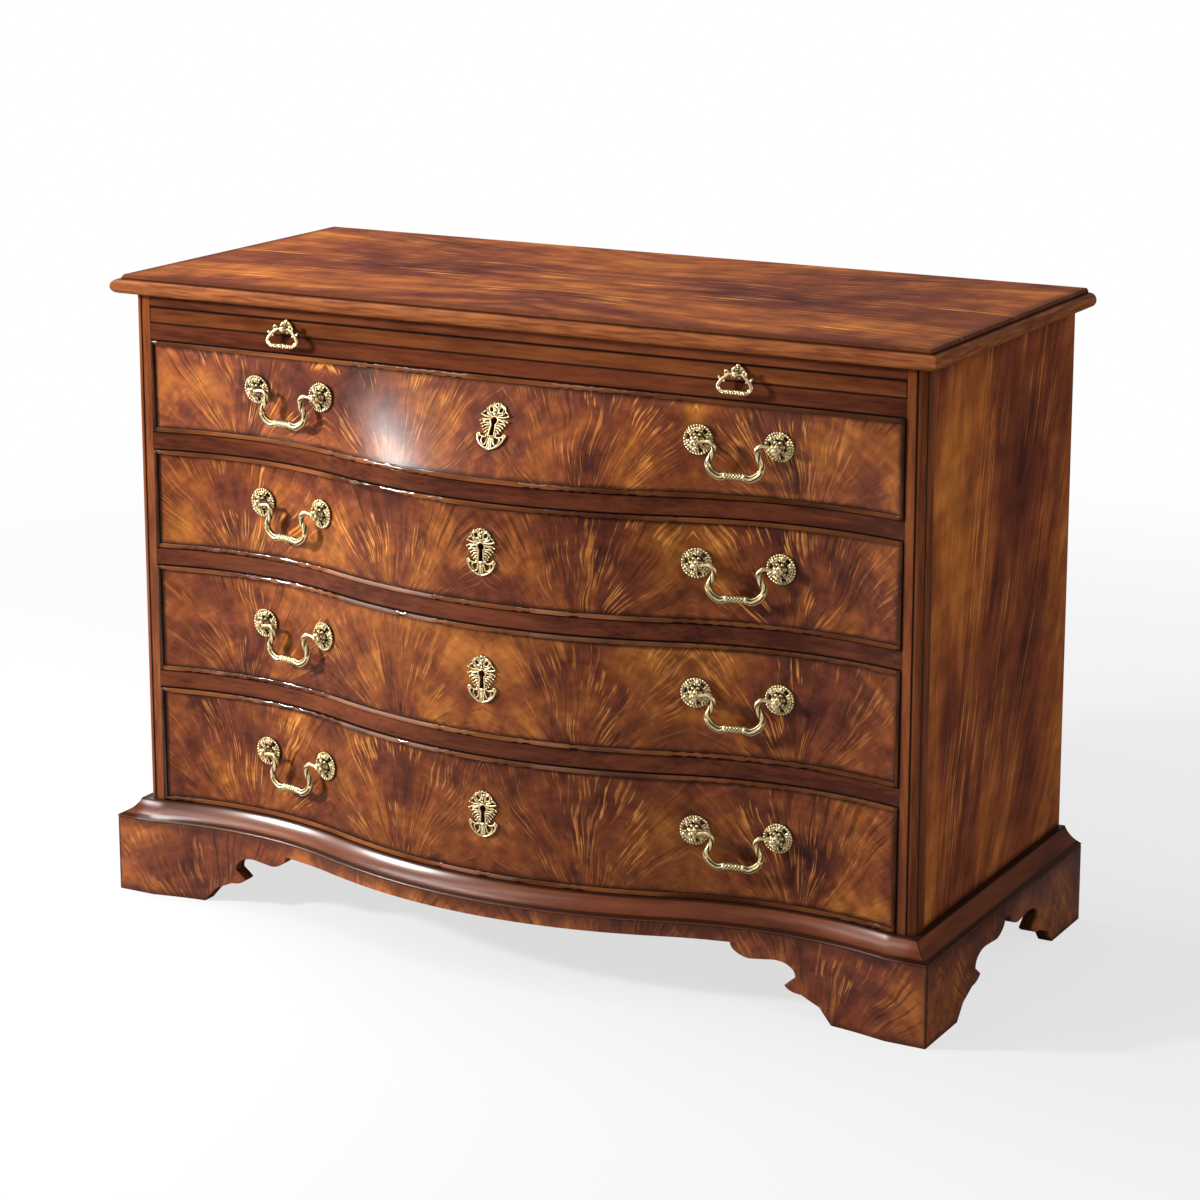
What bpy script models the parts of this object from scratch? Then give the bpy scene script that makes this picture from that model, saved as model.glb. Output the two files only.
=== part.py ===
"""Serpentine chest of four drawers with a brushing slide.

The front faces -Y, the floor is z = 0 and the origin is under the middle of the chest.
The top, the brushing slide and the upper edge of the first drawer are straight. The first
drawer's face swells from that straight line to the serpentine line, which the other drawers,
the dividers, the base moulding and the plinth follow.
"""
import math

import bmesh
import bpy
from mathutils import Matrix, Vector

# Fits, in metres like every size here
FIT = 0.0003                    # gap between pieces that touch
RUN = 0.0010                    # gap round a drawer front or the slide in its opening
PIN_PLAY = 0.0006               # gap round a handle's pin in its hole
PULL_PLAY = 0.0005              # gap round a slide pull's pin in its hole

# Carcass
CASE_WIDTH = 1.152
CASE_DEPTH = 0.494              # at the corners, without the swell of the front
SIDE_THICKNESS = 0.023          # side panels and corner stiles
STILE_DEPTH = 0.032
CORNER_BEAD = 0.0092            # radius of the bead that rounds each front corner
QUIRK = 0.0014                  # width and depth of the sunk line on each side of that bead
BACK_THICKNESS = 0.012
BACK_FRAME = 0.075              # width of the frame round the back's sunk panels
BACK_SINK = 0.004
RAIL_DEPTH = 0.060
DUST_BOARD = 0.012

# Serpentine line, seen from above
SWELL_BULGE = 0.061             # how far the middle stands in front of the corners
SWELL_DIP = 0.017               # how far the hollows lie behind the corners
SWELL_DIP_INSET = 0.130         # from the stile to the deepest point of a hollow
SWELL_TURN = 0.585              # where round turns to hollow, as a share of the way to the dip
SWELL_STEPS = 30                # flats along the curve
TWIST_STEPS = 4                 # flats up the first drawer's twisted face

# Heights of the front, from the top down
TOP_RAIL = 0.017
SLIDE_OPENING = 0.022
SLIDE_RAIL = 0.0235
DRAWER_OPENINGS = (0.1265, 0.137, 0.149, 0.163)
DRAWER_RAIL = 0.024

# Plinth and base moulding
PLINTH_HEIGHT = 0.105
PLINTH_PROJECTION = 0.0325
PLINTH_THICKNESS = 0.020
APRON = 0.018                   # height of the plain strip between the brackets
FRONT_FOOT = 0.134              # width of a foot at the floor
FRONT_BRACKET = 0.139           # run of the shaped bracket beside it
SIDE_FOOT = 0.100
SIDE_APRON_LENGTH = 0.0165      # plain strip between the two brackets of a side
REAR_RETURN = 0.110             # width of the foot's return along the back
# Edge of a bracket from the floor to the apron: the place that each stretch runs to, as shares
# of the bracket's run and of the apron's height, and how far the stretch bows
BRACKET_EDGE = (((0.12, 0.23), 0), ((0.31, 0.365), 0), ((0.475, 0.465), -0.16), ((0.37, 0.60), 0),
                ((0.60, 0.82), 0.25), ((0.82, 0.785), 0), ((1.0, 1.0), -0.16))
BASE_HEIGHT = 0.024
BASE_LIP = 0.0035               # height of the small bead over the plinth
BASE_LIP_PROUD = 0.0012
BASE_FILLET = 0.0008            # height of the flat edge over the cove
BASE_FILLET_PROUD = 0.0085      # how far that edge stands out from the case
BASE_COVE_SAG = 0.105           # depth of the cove, as a share of its width

# Top board
TOP_OVERHANG = 0.025
TOP_BACK_OVERHANG = 0.010
TOP_NOSE = 0.0095               # radius of the rounded nose
TOP_STEP = 0.0022               # ledge over the nose
TOP_RISE = 0.0035               # height of the slope from that ledge to the flat of the top
TOP_ARRIS = 0.011               # how far the flat of the top reaches past the case

# Drawers
FRONT_THICKNESS = 0.022
BEAD_WIDTH = 0.0055             # cock bead round each drawer front
BEAD_HEIGHT = 0.0030
DRAWER_BACK_GAP = 0.055         # free space behind a drawer
DRAWER_SIDE = 0.012
DRAWER_SIDE_RUN = 0.0015
DRAWER_BOTTOM = 0.008
DRAWER_BOTTOM_RAISE = 0.012
DRAWER_GROOVE = 0.005
DRAWER_SIDE_DROP = 0.012        # how far the sides stay below the opening's top
SLIDE_BACK_GAP = 0.042          # free space behind the brushing slide

# Brass
HANDLE_FROM_MIDDLE = 0.3305
HANDLE_CENTRES = 0.1066
HANDLE_RISE = 0.0105            # posts above the middle of the drawer
ROSETTE_RADIUS = 0.020
ROSETTE_EDGE = 0.0016           # thickness at the rim
ROSETTE_DOME = 0.0062           # height at the neck of the knob
KNOB_RADIUS = 0.0068
PIN_HEIGHT = 0.0132             # from the rosette's back to the handle's pivot
PIN_RADIUS = 0.0020
PIN_INSIDE = 0.0045             # how deep a pin goes into its knob
BAIL_DROP = 0.041
NECK_RADIUS = 0.0035
GRIP_RADIUS = 0.0050
ESCUTCHEON_HEIGHT = 0.063
ESCUTCHEON_WIDTH = 0.043
ESCUTCHEON_THICKNESS = 0.003
ESCUTCHEON_RISE = 0.0035
KEYHOLE_RADIUS = 0.0047
KEYHOLE_LENGTH = 0.0238
KEYHOLE_DEPTH = 0.014
PULL_RADIUS = 0.0085
PULL_EDGE = 0.0012
PULL_KNOB = 0.0052
PULL_PIN_HEIGHT = 0.0095
PULL_PIN = 0.0012
PULL_DROP = 0.0245
PULL_HALF_WIDTH = 0.0235
PULL_WIRE = 0.0024

# Planes worked out from the sizes above
HALF = CASE_WIDTH / 2
OPEN = HALF - SIDE_THICKNESS
PLINTH_HALF = HALF + PLINTH_PROJECTION
BASE_REACH = PLINTH_PROJECTION + BASE_LIP_PROUD
Y_BACK = (SWELL_BULGE + BASE_REACH + CASE_DEPTH - TOP_BACK_OVERHANG) / 2
Y_FRONT = Y_BACK - CASE_DEPTH
Y_PLINTH = Y_FRONT - PLINTH_PROJECTION
Z_BASE = PLINTH_HEIGHT + BASE_HEIGHT
Z_APRON = PLINTH_HEIGHT - APRON
CASE_HEIGHT = TOP_RAIL + SLIDE_OPENING + SLIDE_RAIL + sum(DRAWER_OPENINGS) + 3 * DRAWER_RAIL
Z_CASE_TOP = Z_BASE + CASE_HEIGHT
SLIDE_TOP = Z_CASE_TOP - TOP_RAIL
SLIDE_FLOOR = SLIDE_TOP - SLIDE_OPENING
Y_INSIDE = Y_BACK - BACK_THICKNESS
Y_DRAWER_BACK = Y_INSIDE - DRAWER_BACK_GAP

# Flats along round shapes
ROUND_STEPS = 12                # round a turned brass piece
CORNER_STEPS = 5                # round the bead of a corner stile
NOSE_STEPS = 8                  # round the nose of the top
COVE_STEPS = 5                  # down the cove of the base moulding
ESCUTCHEON_STEPS = 18           # up each side of a keyhole plate
KEYHOLE_STEPS = 8
SEAT_STEPS = 8                  # places looked at on each side of a rosette's middle
SHARP = math.radians(35)        # edges that turn more than this look sharp
PAST = 0.01                     # how far a cutter reaches past what it cuts


def serpentine(x):
    """How far the true curve stands in front of the corners at this place."""
    reach = abs(x)
    dip = OPEN - SWELL_DIP_INSET
    turn = SWELL_TURN * dip
    rise = SWELL_BULGE + SWELL_DIP
    if reach < turn:
        return SWELL_BULGE - rise * reach ** 2 / (turn * dip)
    if reach < dip:
        return rise * (dip - reach) ** 2 / ((dip - turn) * dip) - SWELL_DIP
    if reach < OPEN:
        return SWELL_DIP * ((reach - dip) / SWELL_DIP_INSET) ** 2 - SWELL_DIP
    return 0.0


def spread(half, steps):
    """Evenly spaced places from -half to half."""
    return [half * (2 * step / steps - 1) for step in range(steps + 1)]


def swell(x):
    """The serpentine as flats, which every piece along the front shares."""
    if abs(x) >= OPEN:
        return 0.0
    stride = 2 * OPEN / SWELL_STEPS
    start = math.floor((x + OPEN) / stride) * stride - OPEN
    share = (x - start) / stride
    return serpentine(start) * (1 - share) + serpentine(start + stride) * share


def along(half):
    """Places of the flats' corners from -half to half."""
    inside = [x for x in spread(OPEN, SWELL_STEPS) if abs(x) < half - FIT]
    return [-half, *inside, half]


def drawer_opening(number):
    """Lower and upper height of a drawer's opening; drawer 0 is the top one."""
    top = SLIDE_FLOOR - SLIDE_RAIL - sum(DRAWER_OPENINGS[:number]) - number * DRAWER_RAIL
    return top - DRAWER_OPENINGS[number], top


def face_y(number, x, z):
    """Y of a drawer's face. The first one swells from straight to serpentine."""
    low, high = drawer_opening(number)
    share = (high - z) / (high - low) if number == 0 else 1.0
    return Y_FRONT - share * swell(x)


def face_normal(number, x, z, step=ROSETTE_RADIUS):
    """Direction that a drawer's face looks in, over the width of a brass piece."""
    along_x = (face_y(number, x + step, z) - face_y(number, x - step, z)) / (2 * step)
    along_z = (face_y(number, x, z + step) - face_y(number, x, z - step)) / (2 * step)
    return Vector((along_x, -1.0, along_z)).normalized()


def material(name, colour, roughness, metallic=0.0):
    made = bpy.data.materials.new(name)
    made.use_nodes = True
    shader = made.node_tree.nodes["Principled BSDF"]
    shader.inputs["Base Color"].default_value = (*colour, 1.0)
    shader.inputs["Roughness"].default_value = roughness
    shader.inputs["Metallic"].default_value = metallic
    return made


def place(data, name, finish, parent=None, at=None):
    """Object from a bmesh or a curve, at a place in the room."""
    if isinstance(data, bmesh.types.BMesh):
        mesh = bpy.data.meshes.new(name)
        data.to_mesh(mesh)
        data.free()
        mesh.shade_smooth()
        mesh.set_sharp_from_angle(angle=SHARP)
        data = mesh
    if finish:
        data.materials.append(finish)
    made = bpy.data.objects.new(name, data)
    bpy.context.collection.objects.link(made)
    if at is not None:
        made.matrix_world = at
    if parent:
        made.parent = parent
        made.matrix_parent_inverse = Matrix.Translation(parent.location).inverted()
    return made


def empty(name, location):
    made = bpy.data.objects.new(name, None)
    bpy.context.collection.objects.link(made)
    made.location = location
    return made


def cut(target, cutters):
    """Take the cutters' shapes out of a piece."""
    for cutter in cutters:
        cutter.hide_render = True
        cutter.display_type = "WIRE"
        modifier = target.modifiers.new(cutter.name, "BOOLEAN")
        modifier.operation = "DIFFERENCE"
        modifier.object = cutter


def loft(outlines):
    """Closed solid through outlines that have the same number of points."""
    shape = bmesh.new()
    face = shape.faces.new([shape.verts.new(point) for point in outlines[0]])
    for number, outline in enumerate(outlines[1:]):
        grown = bmesh.ops.extrude_face_region(shape, geom=[face])["geom"]
        if number:
            bmesh.ops.delete(shape, geom=[face], context="FACES_ONLY")
        face = next(item for item in grown if isinstance(item, bmesh.types.BMFace))
        for vert, point in zip(face.verts, outline):
            vert.co = point
    bmesh.ops.recalc_face_normals(shape, faces=shape.faces)
    return shape


def block(low, high):
    """Box between two corners."""
    (x0, y0, z0), (x1, y1, z1) = low, high
    return loft([[(x0, y0, z), (x1, y0, z), (x1, y1, z), (x0, y1, z)] for z in (z0, z1)])


def turned(profile, steps=ROUND_STEPS):
    """Solid turned about Z from (radius, height) points that start and end on the axis."""
    shape = bmesh.new()
    verts = [shape.verts.new((radius, 0, height)) for radius, height in profile]
    edges = [shape.edges.new(pair) for pair in zip(verts, verts[1:])]
    bmesh.ops.spin(shape, geom=verts + edges, cent=(0, 0, 0), axis=(0, 0, 1),
                   angle=math.tau, steps=steps, use_merge=True)
    bmesh.ops.remove_doubles(shape, verts=shape.verts, dist=0.00001)
    bmesh.ops.recalc_face_normals(shape, faces=shape.faces)
    return shape


def arc(start, end, sag, steps=4):
    """Points of an arc after its start; sag is its rise to the left, as a share of the chord."""
    start, end = Vector(start), Vector(end)
    if not sag:
        return [end]
    chord = end - start
    left = Vector((-chord.y, chord.x))
    half_angle = 2 * math.atan(2 * sag)
    centre = (start + end) / 2 - left / (2 * math.tan(half_angle))
    turn = -2 * half_angle / steps
    return [centre + Matrix.Rotation(turn * step, 2) @ (start - centre)
            for step in range(1, steps + 1)]


def bracket(foot, run):
    """Edge of a bracket foot, from the floor to the apron, as (distance from the corner, z)."""
    edge = [Vector((0, 0))]
    for place_to, sag in BRACKET_EDGE:
        edge += arc(edge[-1], place_to, sag)
    return [(foot + run * point.x, Z_APRON * point.y) for point in edge]


def arch(low, high, foot, run):
    """Opening between two bracket feet whose corners lie at low and high, as (place, z)."""
    edge = bracket(foot, run)
    left = [(low + away, z) for away, z in edge]
    right = [(high - away, z) for away, z in reversed(edge)]
    return [(low + foot, -PAST)] + left + right + [(high - foot, -PAST)]


def corner_stile(side):
    """Front corner post with its bead between two sunk lines."""
    bead_x = HALF - CORNER_BEAD
    bead_y = Y_FRONT + CORNER_BEAD
    plan = [(OPEN, Y_FRONT), (bead_x - QUIRK, Y_FRONT), (bead_x - QUIRK, Y_FRONT + QUIRK),
            (bead_x, Y_FRONT + QUIRK), (bead_x, Y_FRONT)]
    for step in range(1, CORNER_STEPS + 1):
        turn = math.pi / 2 * step / CORNER_STEPS
        plan.append((bead_x + CORNER_BEAD * math.sin(turn), bead_y - CORNER_BEAD * math.cos(turn)))
    plan += [(HALF - QUIRK, bead_y), (HALF - QUIRK, bead_y + QUIRK), (HALF, bead_y + QUIRK),
             (HALF, Y_FRONT + STILE_DEPTH), (OPEN, Y_FRONT + STILE_DEPTH)]
    return loft([[(side * x, y, z) for x, y in plan] for z in (Z_BASE + FIT, Z_CASE_TOP)])


def side_panel(side):
    low = (min(side * OPEN, side * HALF), Y_FRONT + STILE_DEPTH + FIT, Z_BASE + FIT)
    high = (max(side * OPEN, side * HALF), Y_BACK, Z_CASE_TOP)
    return block(low, high)


def back_panel():
    """Framed back with two sunk panels."""
    half = OPEN - FIT
    shape = block((-half, Y_INSIDE, Z_BASE + FIT), (half, Y_BACK, Z_CASE_TOP))
    bmesh.ops.bisect_plane(shape, geom=shape.verts[:] + shape.edges[:] + shape.faces[:],
                           plane_co=(0, 0, 0), plane_no=(1, 0, 0))
    panels = [face for face in shape.faces if face.normal.y > 0.9]
    bmesh.ops.inset_individual(shape, faces=panels, thickness=BACK_FRAME, depth=0)
    bmesh.ops.inset_individual(shape, faces=panels, thickness=BACK_SINK, depth=-BACK_SINK)
    return shape


def divider(top, height, swells):
    """Front rail with a dust board behind it; its front edge is straight or swells."""
    half = OPEN - FIT
    back = Y_INSIDE - FIT
    rail_back = Y_FRONT + RAIL_DEPTH
    outlines = []
    for x in along(half) if swells else (-half, half):
        front = Y_FRONT - swell(x) if swells else Y_FRONT
        outlines.append([(x, front, top - height), (x, front, top), (x, back, top),
                         (x, back, top - DUST_BOARD), (x, rail_back, top - DUST_BOARD),
                         (x, rail_back, top - height)])
    return loft(outlines)


def top_board():
    """Top with a stepped and rounded edge on the front and both ends."""
    nose = TOP_OVERHANG - TOP_NOSE
    profile = []
    for step in range(NOSE_STEPS + 1):
        turn = math.pi * step / NOSE_STEPS
        profile.append((nose + TOP_NOSE * math.sin(turn), TOP_NOSE * (1 - math.cos(turn)) + FIT))
    ledge = nose - TOP_STEP
    ledge_height = FIT + 2 * TOP_NOSE
    profile += [(ledge, ledge_height), (ledge, ledge_height + TOP_STEP),
                (TOP_ARRIS, ledge_height + TOP_STEP + TOP_RISE)]
    back = Y_BACK + TOP_BACK_OVERHANG
    return loft([[(-HALF - out, back, Z_CASE_TOP + z), (-HALF - out, Y_FRONT - out, Z_CASE_TOP + z),
                  (HALF + out, Y_FRONT - out, Z_CASE_TOP + z), (HALF + out, back, Z_CASE_TOP + z)]
                 for out, z in profile])


def base_frame():
    """Bottom board, whose front and ends carry the cove moulding over the plinth."""
    foot = (PLINTH_PROJECTION - BASE_LIP_PROUD, BASE_LIP)
    head = (BASE_FILLET_PROUD, BASE_HEIGHT - BASE_FILLET)
    profile = [(PLINTH_PROJECTION, FIT), (BASE_REACH, BASE_LIP / 4), (BASE_REACH, BASE_LIP * 3 / 4), foot]
    profile += [tuple(point) for point in arc(foot, head, BASE_COVE_SAG, COVE_STEPS)]
    profile.append((BASE_FILLET_PROUD, BASE_HEIGHT))
    outlines = []
    for out, z in profile:
        height = PLINTH_HEIGHT + z
        front = [(x, Y_FRONT - out - swell(x), height) for x in along(OPEN)]
        corner = HALF + out
        outlines.append([(-corner, Y_BACK, height), (-corner, Y_FRONT - out, height), *front,
                         (corner, Y_FRONT - out, height), (corner, Y_BACK, height)])
    return loft(outlines)


def plinth_front_board():
    """Serpentine board with mitred ends, before its arch is cut."""
    inner = PLINTH_HALF - PLINTH_THICKNESS
    outlines = []
    for x in (-PLINTH_HALF, *along(OPEN), PLINTH_HALF):
        back_x = max(-inner, min(inner, x))
        front = Y_PLINTH - swell(x)
        back = front + PLINTH_THICKNESS
        outlines.append([(x, front, 0), (x, front, PLINTH_HEIGHT),
                         (back_x, back, PLINTH_HEIGHT), (back_x, back, 0)])
    return loft(outlines)


def plinth_side_board(side):
    """Side board with a mitred front end and a return along the back, before its arch is cut."""
    inner = PLINTH_HALF - PLINTH_THICKNESS
    mitre = Y_PLINTH + FIT
    plan = [(PLINTH_HALF, mitre), (PLINTH_HALF, Y_BACK), (PLINTH_HALF - REAR_RETURN, Y_BACK),
            (PLINTH_HALF - REAR_RETURN, Y_BACK - PLINTH_THICKNESS),
            (inner, Y_BACK - PLINTH_THICKNESS), (inner, mitre + PLINTH_THICKNESS)]
    return loft([[(side * x, y, z) for x, y in plan] for z in (0, PLINTH_HEIGHT)])


def plinth_pieces(finish):
    front = place(plinth_front_board(), "plinth_front", finish)
    outline = arch(-PLINTH_HALF, PLINTH_HALF, FRONT_FOOT, FRONT_BRACKET)
    near = Y_PLINTH - SWELL_BULGE - PAST
    far = Y_PLINTH + PLINTH_THICKNESS + SWELL_DIP + PAST
    cutter = loft([[(x, y, z) for x, z in outline] for y in (near, far)])
    cut(front, [place(cutter, "front_arch_cutter", None)])
    for side, name in ((-1, "plinth_left"), (1, "plinth_right")):
        board = place(plinth_side_board(side), name, finish)
        run = (Y_BACK - Y_PLINTH - SIDE_APRON_LENGTH) / 2 - SIDE_FOOT
        outline = arch(Y_PLINTH, Y_BACK, SIDE_FOOT, run)
        span = (PLINTH_HALF - PLINTH_THICKNESS - PAST, PLINTH_HALF + PAST)
        cutter = loft([[(side * x, y, z) for y, z in outline] for x in span])
        cut(board, [place(cutter, name + "_arch_cutter", None)])


def bead_rise(away):
    """Height of the cock bead at a distance from the drawer front's edge."""
    if away >= BEAD_WIDTH:
        return 0.0
    middle = 2 * away / BEAD_WIDTH - 1
    return BEAD_HEIGHT * math.sqrt(max(0.0, 1 - middle ** 2))


def edged(low, high, field):
    """Places across a drawer front: those of its field, and more over the bead at each end."""
    rim = [BEAD_WIDTH * share for share in (0, 0.15, 0.5, 0.85)]
    return [low + away for away in rim] + field + [high - away for away in reversed(rim)]


def bottom_levels(number):
    """Underside and top of a drawer's bottom board."""
    under = drawer_opening(number)[0] + DRAWER_BOTTOM_RAISE + FIT
    return under, under + DRAWER_BOTTOM


def drawer_front(number):
    """Shaped drawer front with a rounded bead standing proud all round it."""
    low, high = drawer_opening(number)
    half = OPEN - RUN
    bottom, top = low + RUN, high - RUN
    middle = (bottom + top) / 2
    twist = TWIST_STEPS if number == 0 else 1
    rows = [middle + z for z in spread((top - bottom) / 2 - BEAD_WIDTH, twist)]
    back_rows = (top, *reversed(bottom_levels(number)), bottom) if number == 0 else (top, bottom)
    outlines = []
    for x in edged(-half, half, along(half - BEAD_WIDTH)):
        outline = []
        for z in edged(bottom, top, rows):
            away = min(half - abs(x), z - bottom, top - z)
            outline.append((x, face_y(number, x, z) - bead_rise(away), z))
        for z in back_rows:
            outline.append((x, face_y(number, x, z) + FRONT_THICKNESS, z))
        outlines.append(outline)
    return loft(outlines)


def behind_front(number, x, z):
    """Y just behind a drawer front, where the drawer's box begins."""
    return face_y(number, x, z) + FRONT_THICKNESS + FIT


def drawer_box(number, name, finish, parent):
    """Both sides and the back of a drawer, grooved for its bottom."""
    low, high = drawer_opening(number)
    outer = OPEN - DRAWER_SIDE_RUN
    inner = outer - DRAWER_SIDE
    back_inner = Y_DRAWER_BACK - DRAWER_SIDE
    outlines = []
    for z in (low + FIT, high - DRAWER_SIDE_DROP):
        front = [(x, behind_front(number, x, low), z) for x in (-outer, -inner, inner, outer)]
        outlines.append([front[0], front[1], (-inner, back_inner, z), (inner, back_inner, z),
                         front[2], front[3], (outer, Y_DRAWER_BACK, z), (-outer, Y_DRAWER_BACK, z)])
    box = place(loft(outlines), name, finish, parent)
    groove_low = low + DRAWER_BOTTOM_RAISE
    groove_high = groove_low + DRAWER_BOTTOM + 2 * FIT
    groove = block((-inner - DRAWER_GROOVE, Y_FRONT - PAST, groove_low),
                   (inner + DRAWER_GROOVE, Y_DRAWER_BACK + PAST, groove_high))
    slot = block((-inner, back_inner - PAST, low - PAST), (inner, Y_DRAWER_BACK + PAST, groove_high))
    cut(box, [place(groove, name + "_groove_cutter", None, parent),
              place(slot, name + "_slot_cutter", None, parent)])


def drawer_bottom(number):
    """Bottom board that slides into the grooves under the drawer's back."""
    half = OPEN - DRAWER_SIDE_RUN - DRAWER_SIDE + DRAWER_GROOVE - FIT
    outlines = []
    for z in bottom_levels(number):
        front = [(x, behind_front(number, x, z) + FIT, z) for x in along(half)]
        outlines.append([*front, (half, Y_DRAWER_BACK, z), (-half, Y_DRAWER_BACK, z)])
    return loft(outlines)


def keyhole(depth, past):
    """Keyhole-shaped cutter about the origin, looking along Z."""
    wide = KEYHOLE_RADIUS
    narrow = KEYHOLE_RADIUS * 0.58
    foot = KEYHOLE_RADIUS * 0.85
    outline = [(-foot, wide - KEYHOLE_LENGTH), (foot, wide - KEYHOLE_LENGTH)]
    start = -math.acos(narrow / wide)
    sweep = math.pi - 2 * start
    for step in range(KEYHOLE_STEPS + 1):
        turn = start + sweep * step / KEYHOLE_STEPS
        outline.append((wide * math.cos(turn), wide * math.sin(turn)))
    lift = KEYHOLE_LENGTH / 2 - wide
    return loft([[(x, y + lift, z) for x, y in outline] for z in (-depth, past)])


def escutcheon():
    """Keyhole plate: a rounded fan over a shell, about the origin and looking along Z."""
    half_height = ESCUTCHEON_HEIGHT / 2
    fan_half = ESCUTCHEON_HEIGHT * 0.34
    shell_half = ESCUTCHEON_HEIGHT * 0.185
    shell_width = ESCUTCHEON_WIDTH * 0.44
    waist = ESCUTCHEON_WIDTH * 0.20
    side = []
    for step in range(1, ESCUTCHEON_STEPS):
        height = -half_height * math.cos(math.pi * step / ESCUTCHEON_STEPS)
        fan = 1 - ((height - half_height + fan_half) / fan_half) ** 2
        shell = 1 - ((height + half_height - shell_half) / shell_half) ** 2
        width = max(waist, ESCUTCHEON_WIDTH / 2 * math.sqrt(max(fan, 0)),
                    shell_width * math.sqrt(max(shell, 0)))
        side.append((width, height))
    outline = [(0, -half_height), *side, (0, half_height)]
    outline += [(-width, height) for width, height in reversed(side)]
    return loft([[(x, y, z) for x, y in outline] for z in (0, ESCUTCHEON_THICKNESS)])


def rosette():
    """Domed rosette with a knob on its post, turned about Z."""
    rim = ROSETTE_RADIUS
    knob = KNOB_RADIUS
    return turned([(0, 0), (rim, 0), (rim, ROSETTE_EDGE), (rim * 0.7, ROSETTE_EDGE * 2.6),
                   (knob * 0.7, ROSETTE_DOME), (knob, PIN_HEIGHT - knob * 0.44),
                   (knob, PIN_HEIGHT + knob * 0.32), (knob * 0.6, PIN_HEIGHT + knob * 0.82),
                   (0, PIN_HEIGHT + knob * 0.97)])


def pull_post():
    """Small post of a slide pull, turned about Z."""
    rim = PULL_RADIUS
    knob = PULL_KNOB
    return turned([(0, 0), (rim, 0), (rim, PULL_EDGE), (rim * 0.6, PULL_EDGE * 2.3),
                   (knob * 0.6, PULL_EDGE * 3.5), (knob, PULL_PIN_HEIGHT - knob * 0.38),
                   (knob, PULL_PIN_HEIGHT + knob * 0.38),
                   (knob * 0.6, PULL_PIN_HEIGHT + knob * 0.85), (0, PULL_PIN_HEIGHT + knob)])


def bail_curve(name, half_path, smooth_steps):
    """Round bar through (x, z, radius) points from the middle to one end, and its mirror."""
    path = [(-x, z, radius) for x, z, radius in reversed(half_path[1:])] + list(half_path)
    curve = bpy.data.curves.new(name, "CURVE")
    curve.dimensions = "3D"
    curve.bevel_depth = 1.0
    curve.bevel_resolution = 1
    curve.resolution_u = smooth_steps
    curve.render_resolution_u = smooth_steps
    curve.use_fill_caps = True
    spline = curve.splines.new("BEZIER")
    spline.bezier_points.add(len(path) - 1)
    for point, (x, z, radius) in zip(spline.bezier_points, path):
        point.co = (x, 0, z)
        point.radius = radius
        point.handle_left_type = point.handle_right_type = "AUTO"
    return curve


def swan_neck(half):
    """Half of a handle's bar, from the middle of its grip, for pivots this far from it."""
    out = half - KNOB_RADIUS
    drop = BAIL_DROP
    return [(0, -drop * 0.96, GRIP_RADIUS), (out * 0.27, -drop * 0.965, GRIP_RADIUS * 0.92),
            (out * 0.46, -drop, GRIP_RADIUS * 0.92), (out * 0.70, -drop * 0.84, GRIP_RADIUS * 0.88),
            (out * 0.78, -drop * 0.61, NECK_RADIUS * 1.15),
            (out * 0.68, -drop * 0.38, NECK_RADIUS), (out * 0.605, -drop * 0.17, NECK_RADIUS),
            (out * 0.72, -drop * 0.017, NECK_RADIUS * 0.85), (out * 0.925, 0, PIN_RADIUS),
            (out + PIN_INSIDE, 0, PIN_RADIUS)]


def drop_ring():
    """Half of a slide pull's drop, from its foot to the pin in the post."""
    wide = PULL_HALF_WIDTH
    drop = PULL_DROP
    return [(0, -drop, PULL_WIRE), (wide * 0.72, -drop * 0.98, PULL_WIRE),
            (wide, -drop * 0.77, PULL_WIRE), (wide * 0.80, -drop * 0.42, PULL_WIRE),
            (wide * 0.50, -drop * 0.10, PULL_WIRE * 0.8), (PULL_KNOB * 1.54, 0, PULL_PIN),
            (PULL_KNOB * 0.35, 0, PULL_PIN)]


def standing(point, normal, across):
    """Frame with Z along a face's normal and X as near to across as it can be."""
    z_axis = Vector(normal).normalized()
    y_axis = z_axis.cross(Vector(across)).normalized()
    x_axis = y_axis.cross(z_axis)
    return Matrix.Translation(point) @ Matrix((x_axis, y_axis, z_axis)).transposed().to_4x4()


def pin_bore(name, centre, direction, radius, start, end, parent):
    """Cutter for a pin's hole, from start to end along a direction through its centre."""
    shape = turned([(0, start), (radius, start), (radius, end), (0, end)], 8)
    return place(shape, name, None, parent, standing(centre, direction, (0, 0, 1)))


def seat(number, foot, normal):
    """How far a rosette's flat back stands off its foot to clear the shaped face."""
    highest = 0.0
    for step in range(-SEAT_STEPS, SEAT_STEPS + 1):
        across = ROSETTE_RADIUS * step / SEAT_STEPS
        reach = math.sqrt(ROSETTE_RADIUS ** 2 - across ** 2)
        for z in (foot.z - reach, foot.z + reach):
            point = Vector((foot.x + across, face_y(number, foot.x + across, z), z))
            highest = max(highest, (point - foot).dot(normal))
    return highest + FIT


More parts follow.
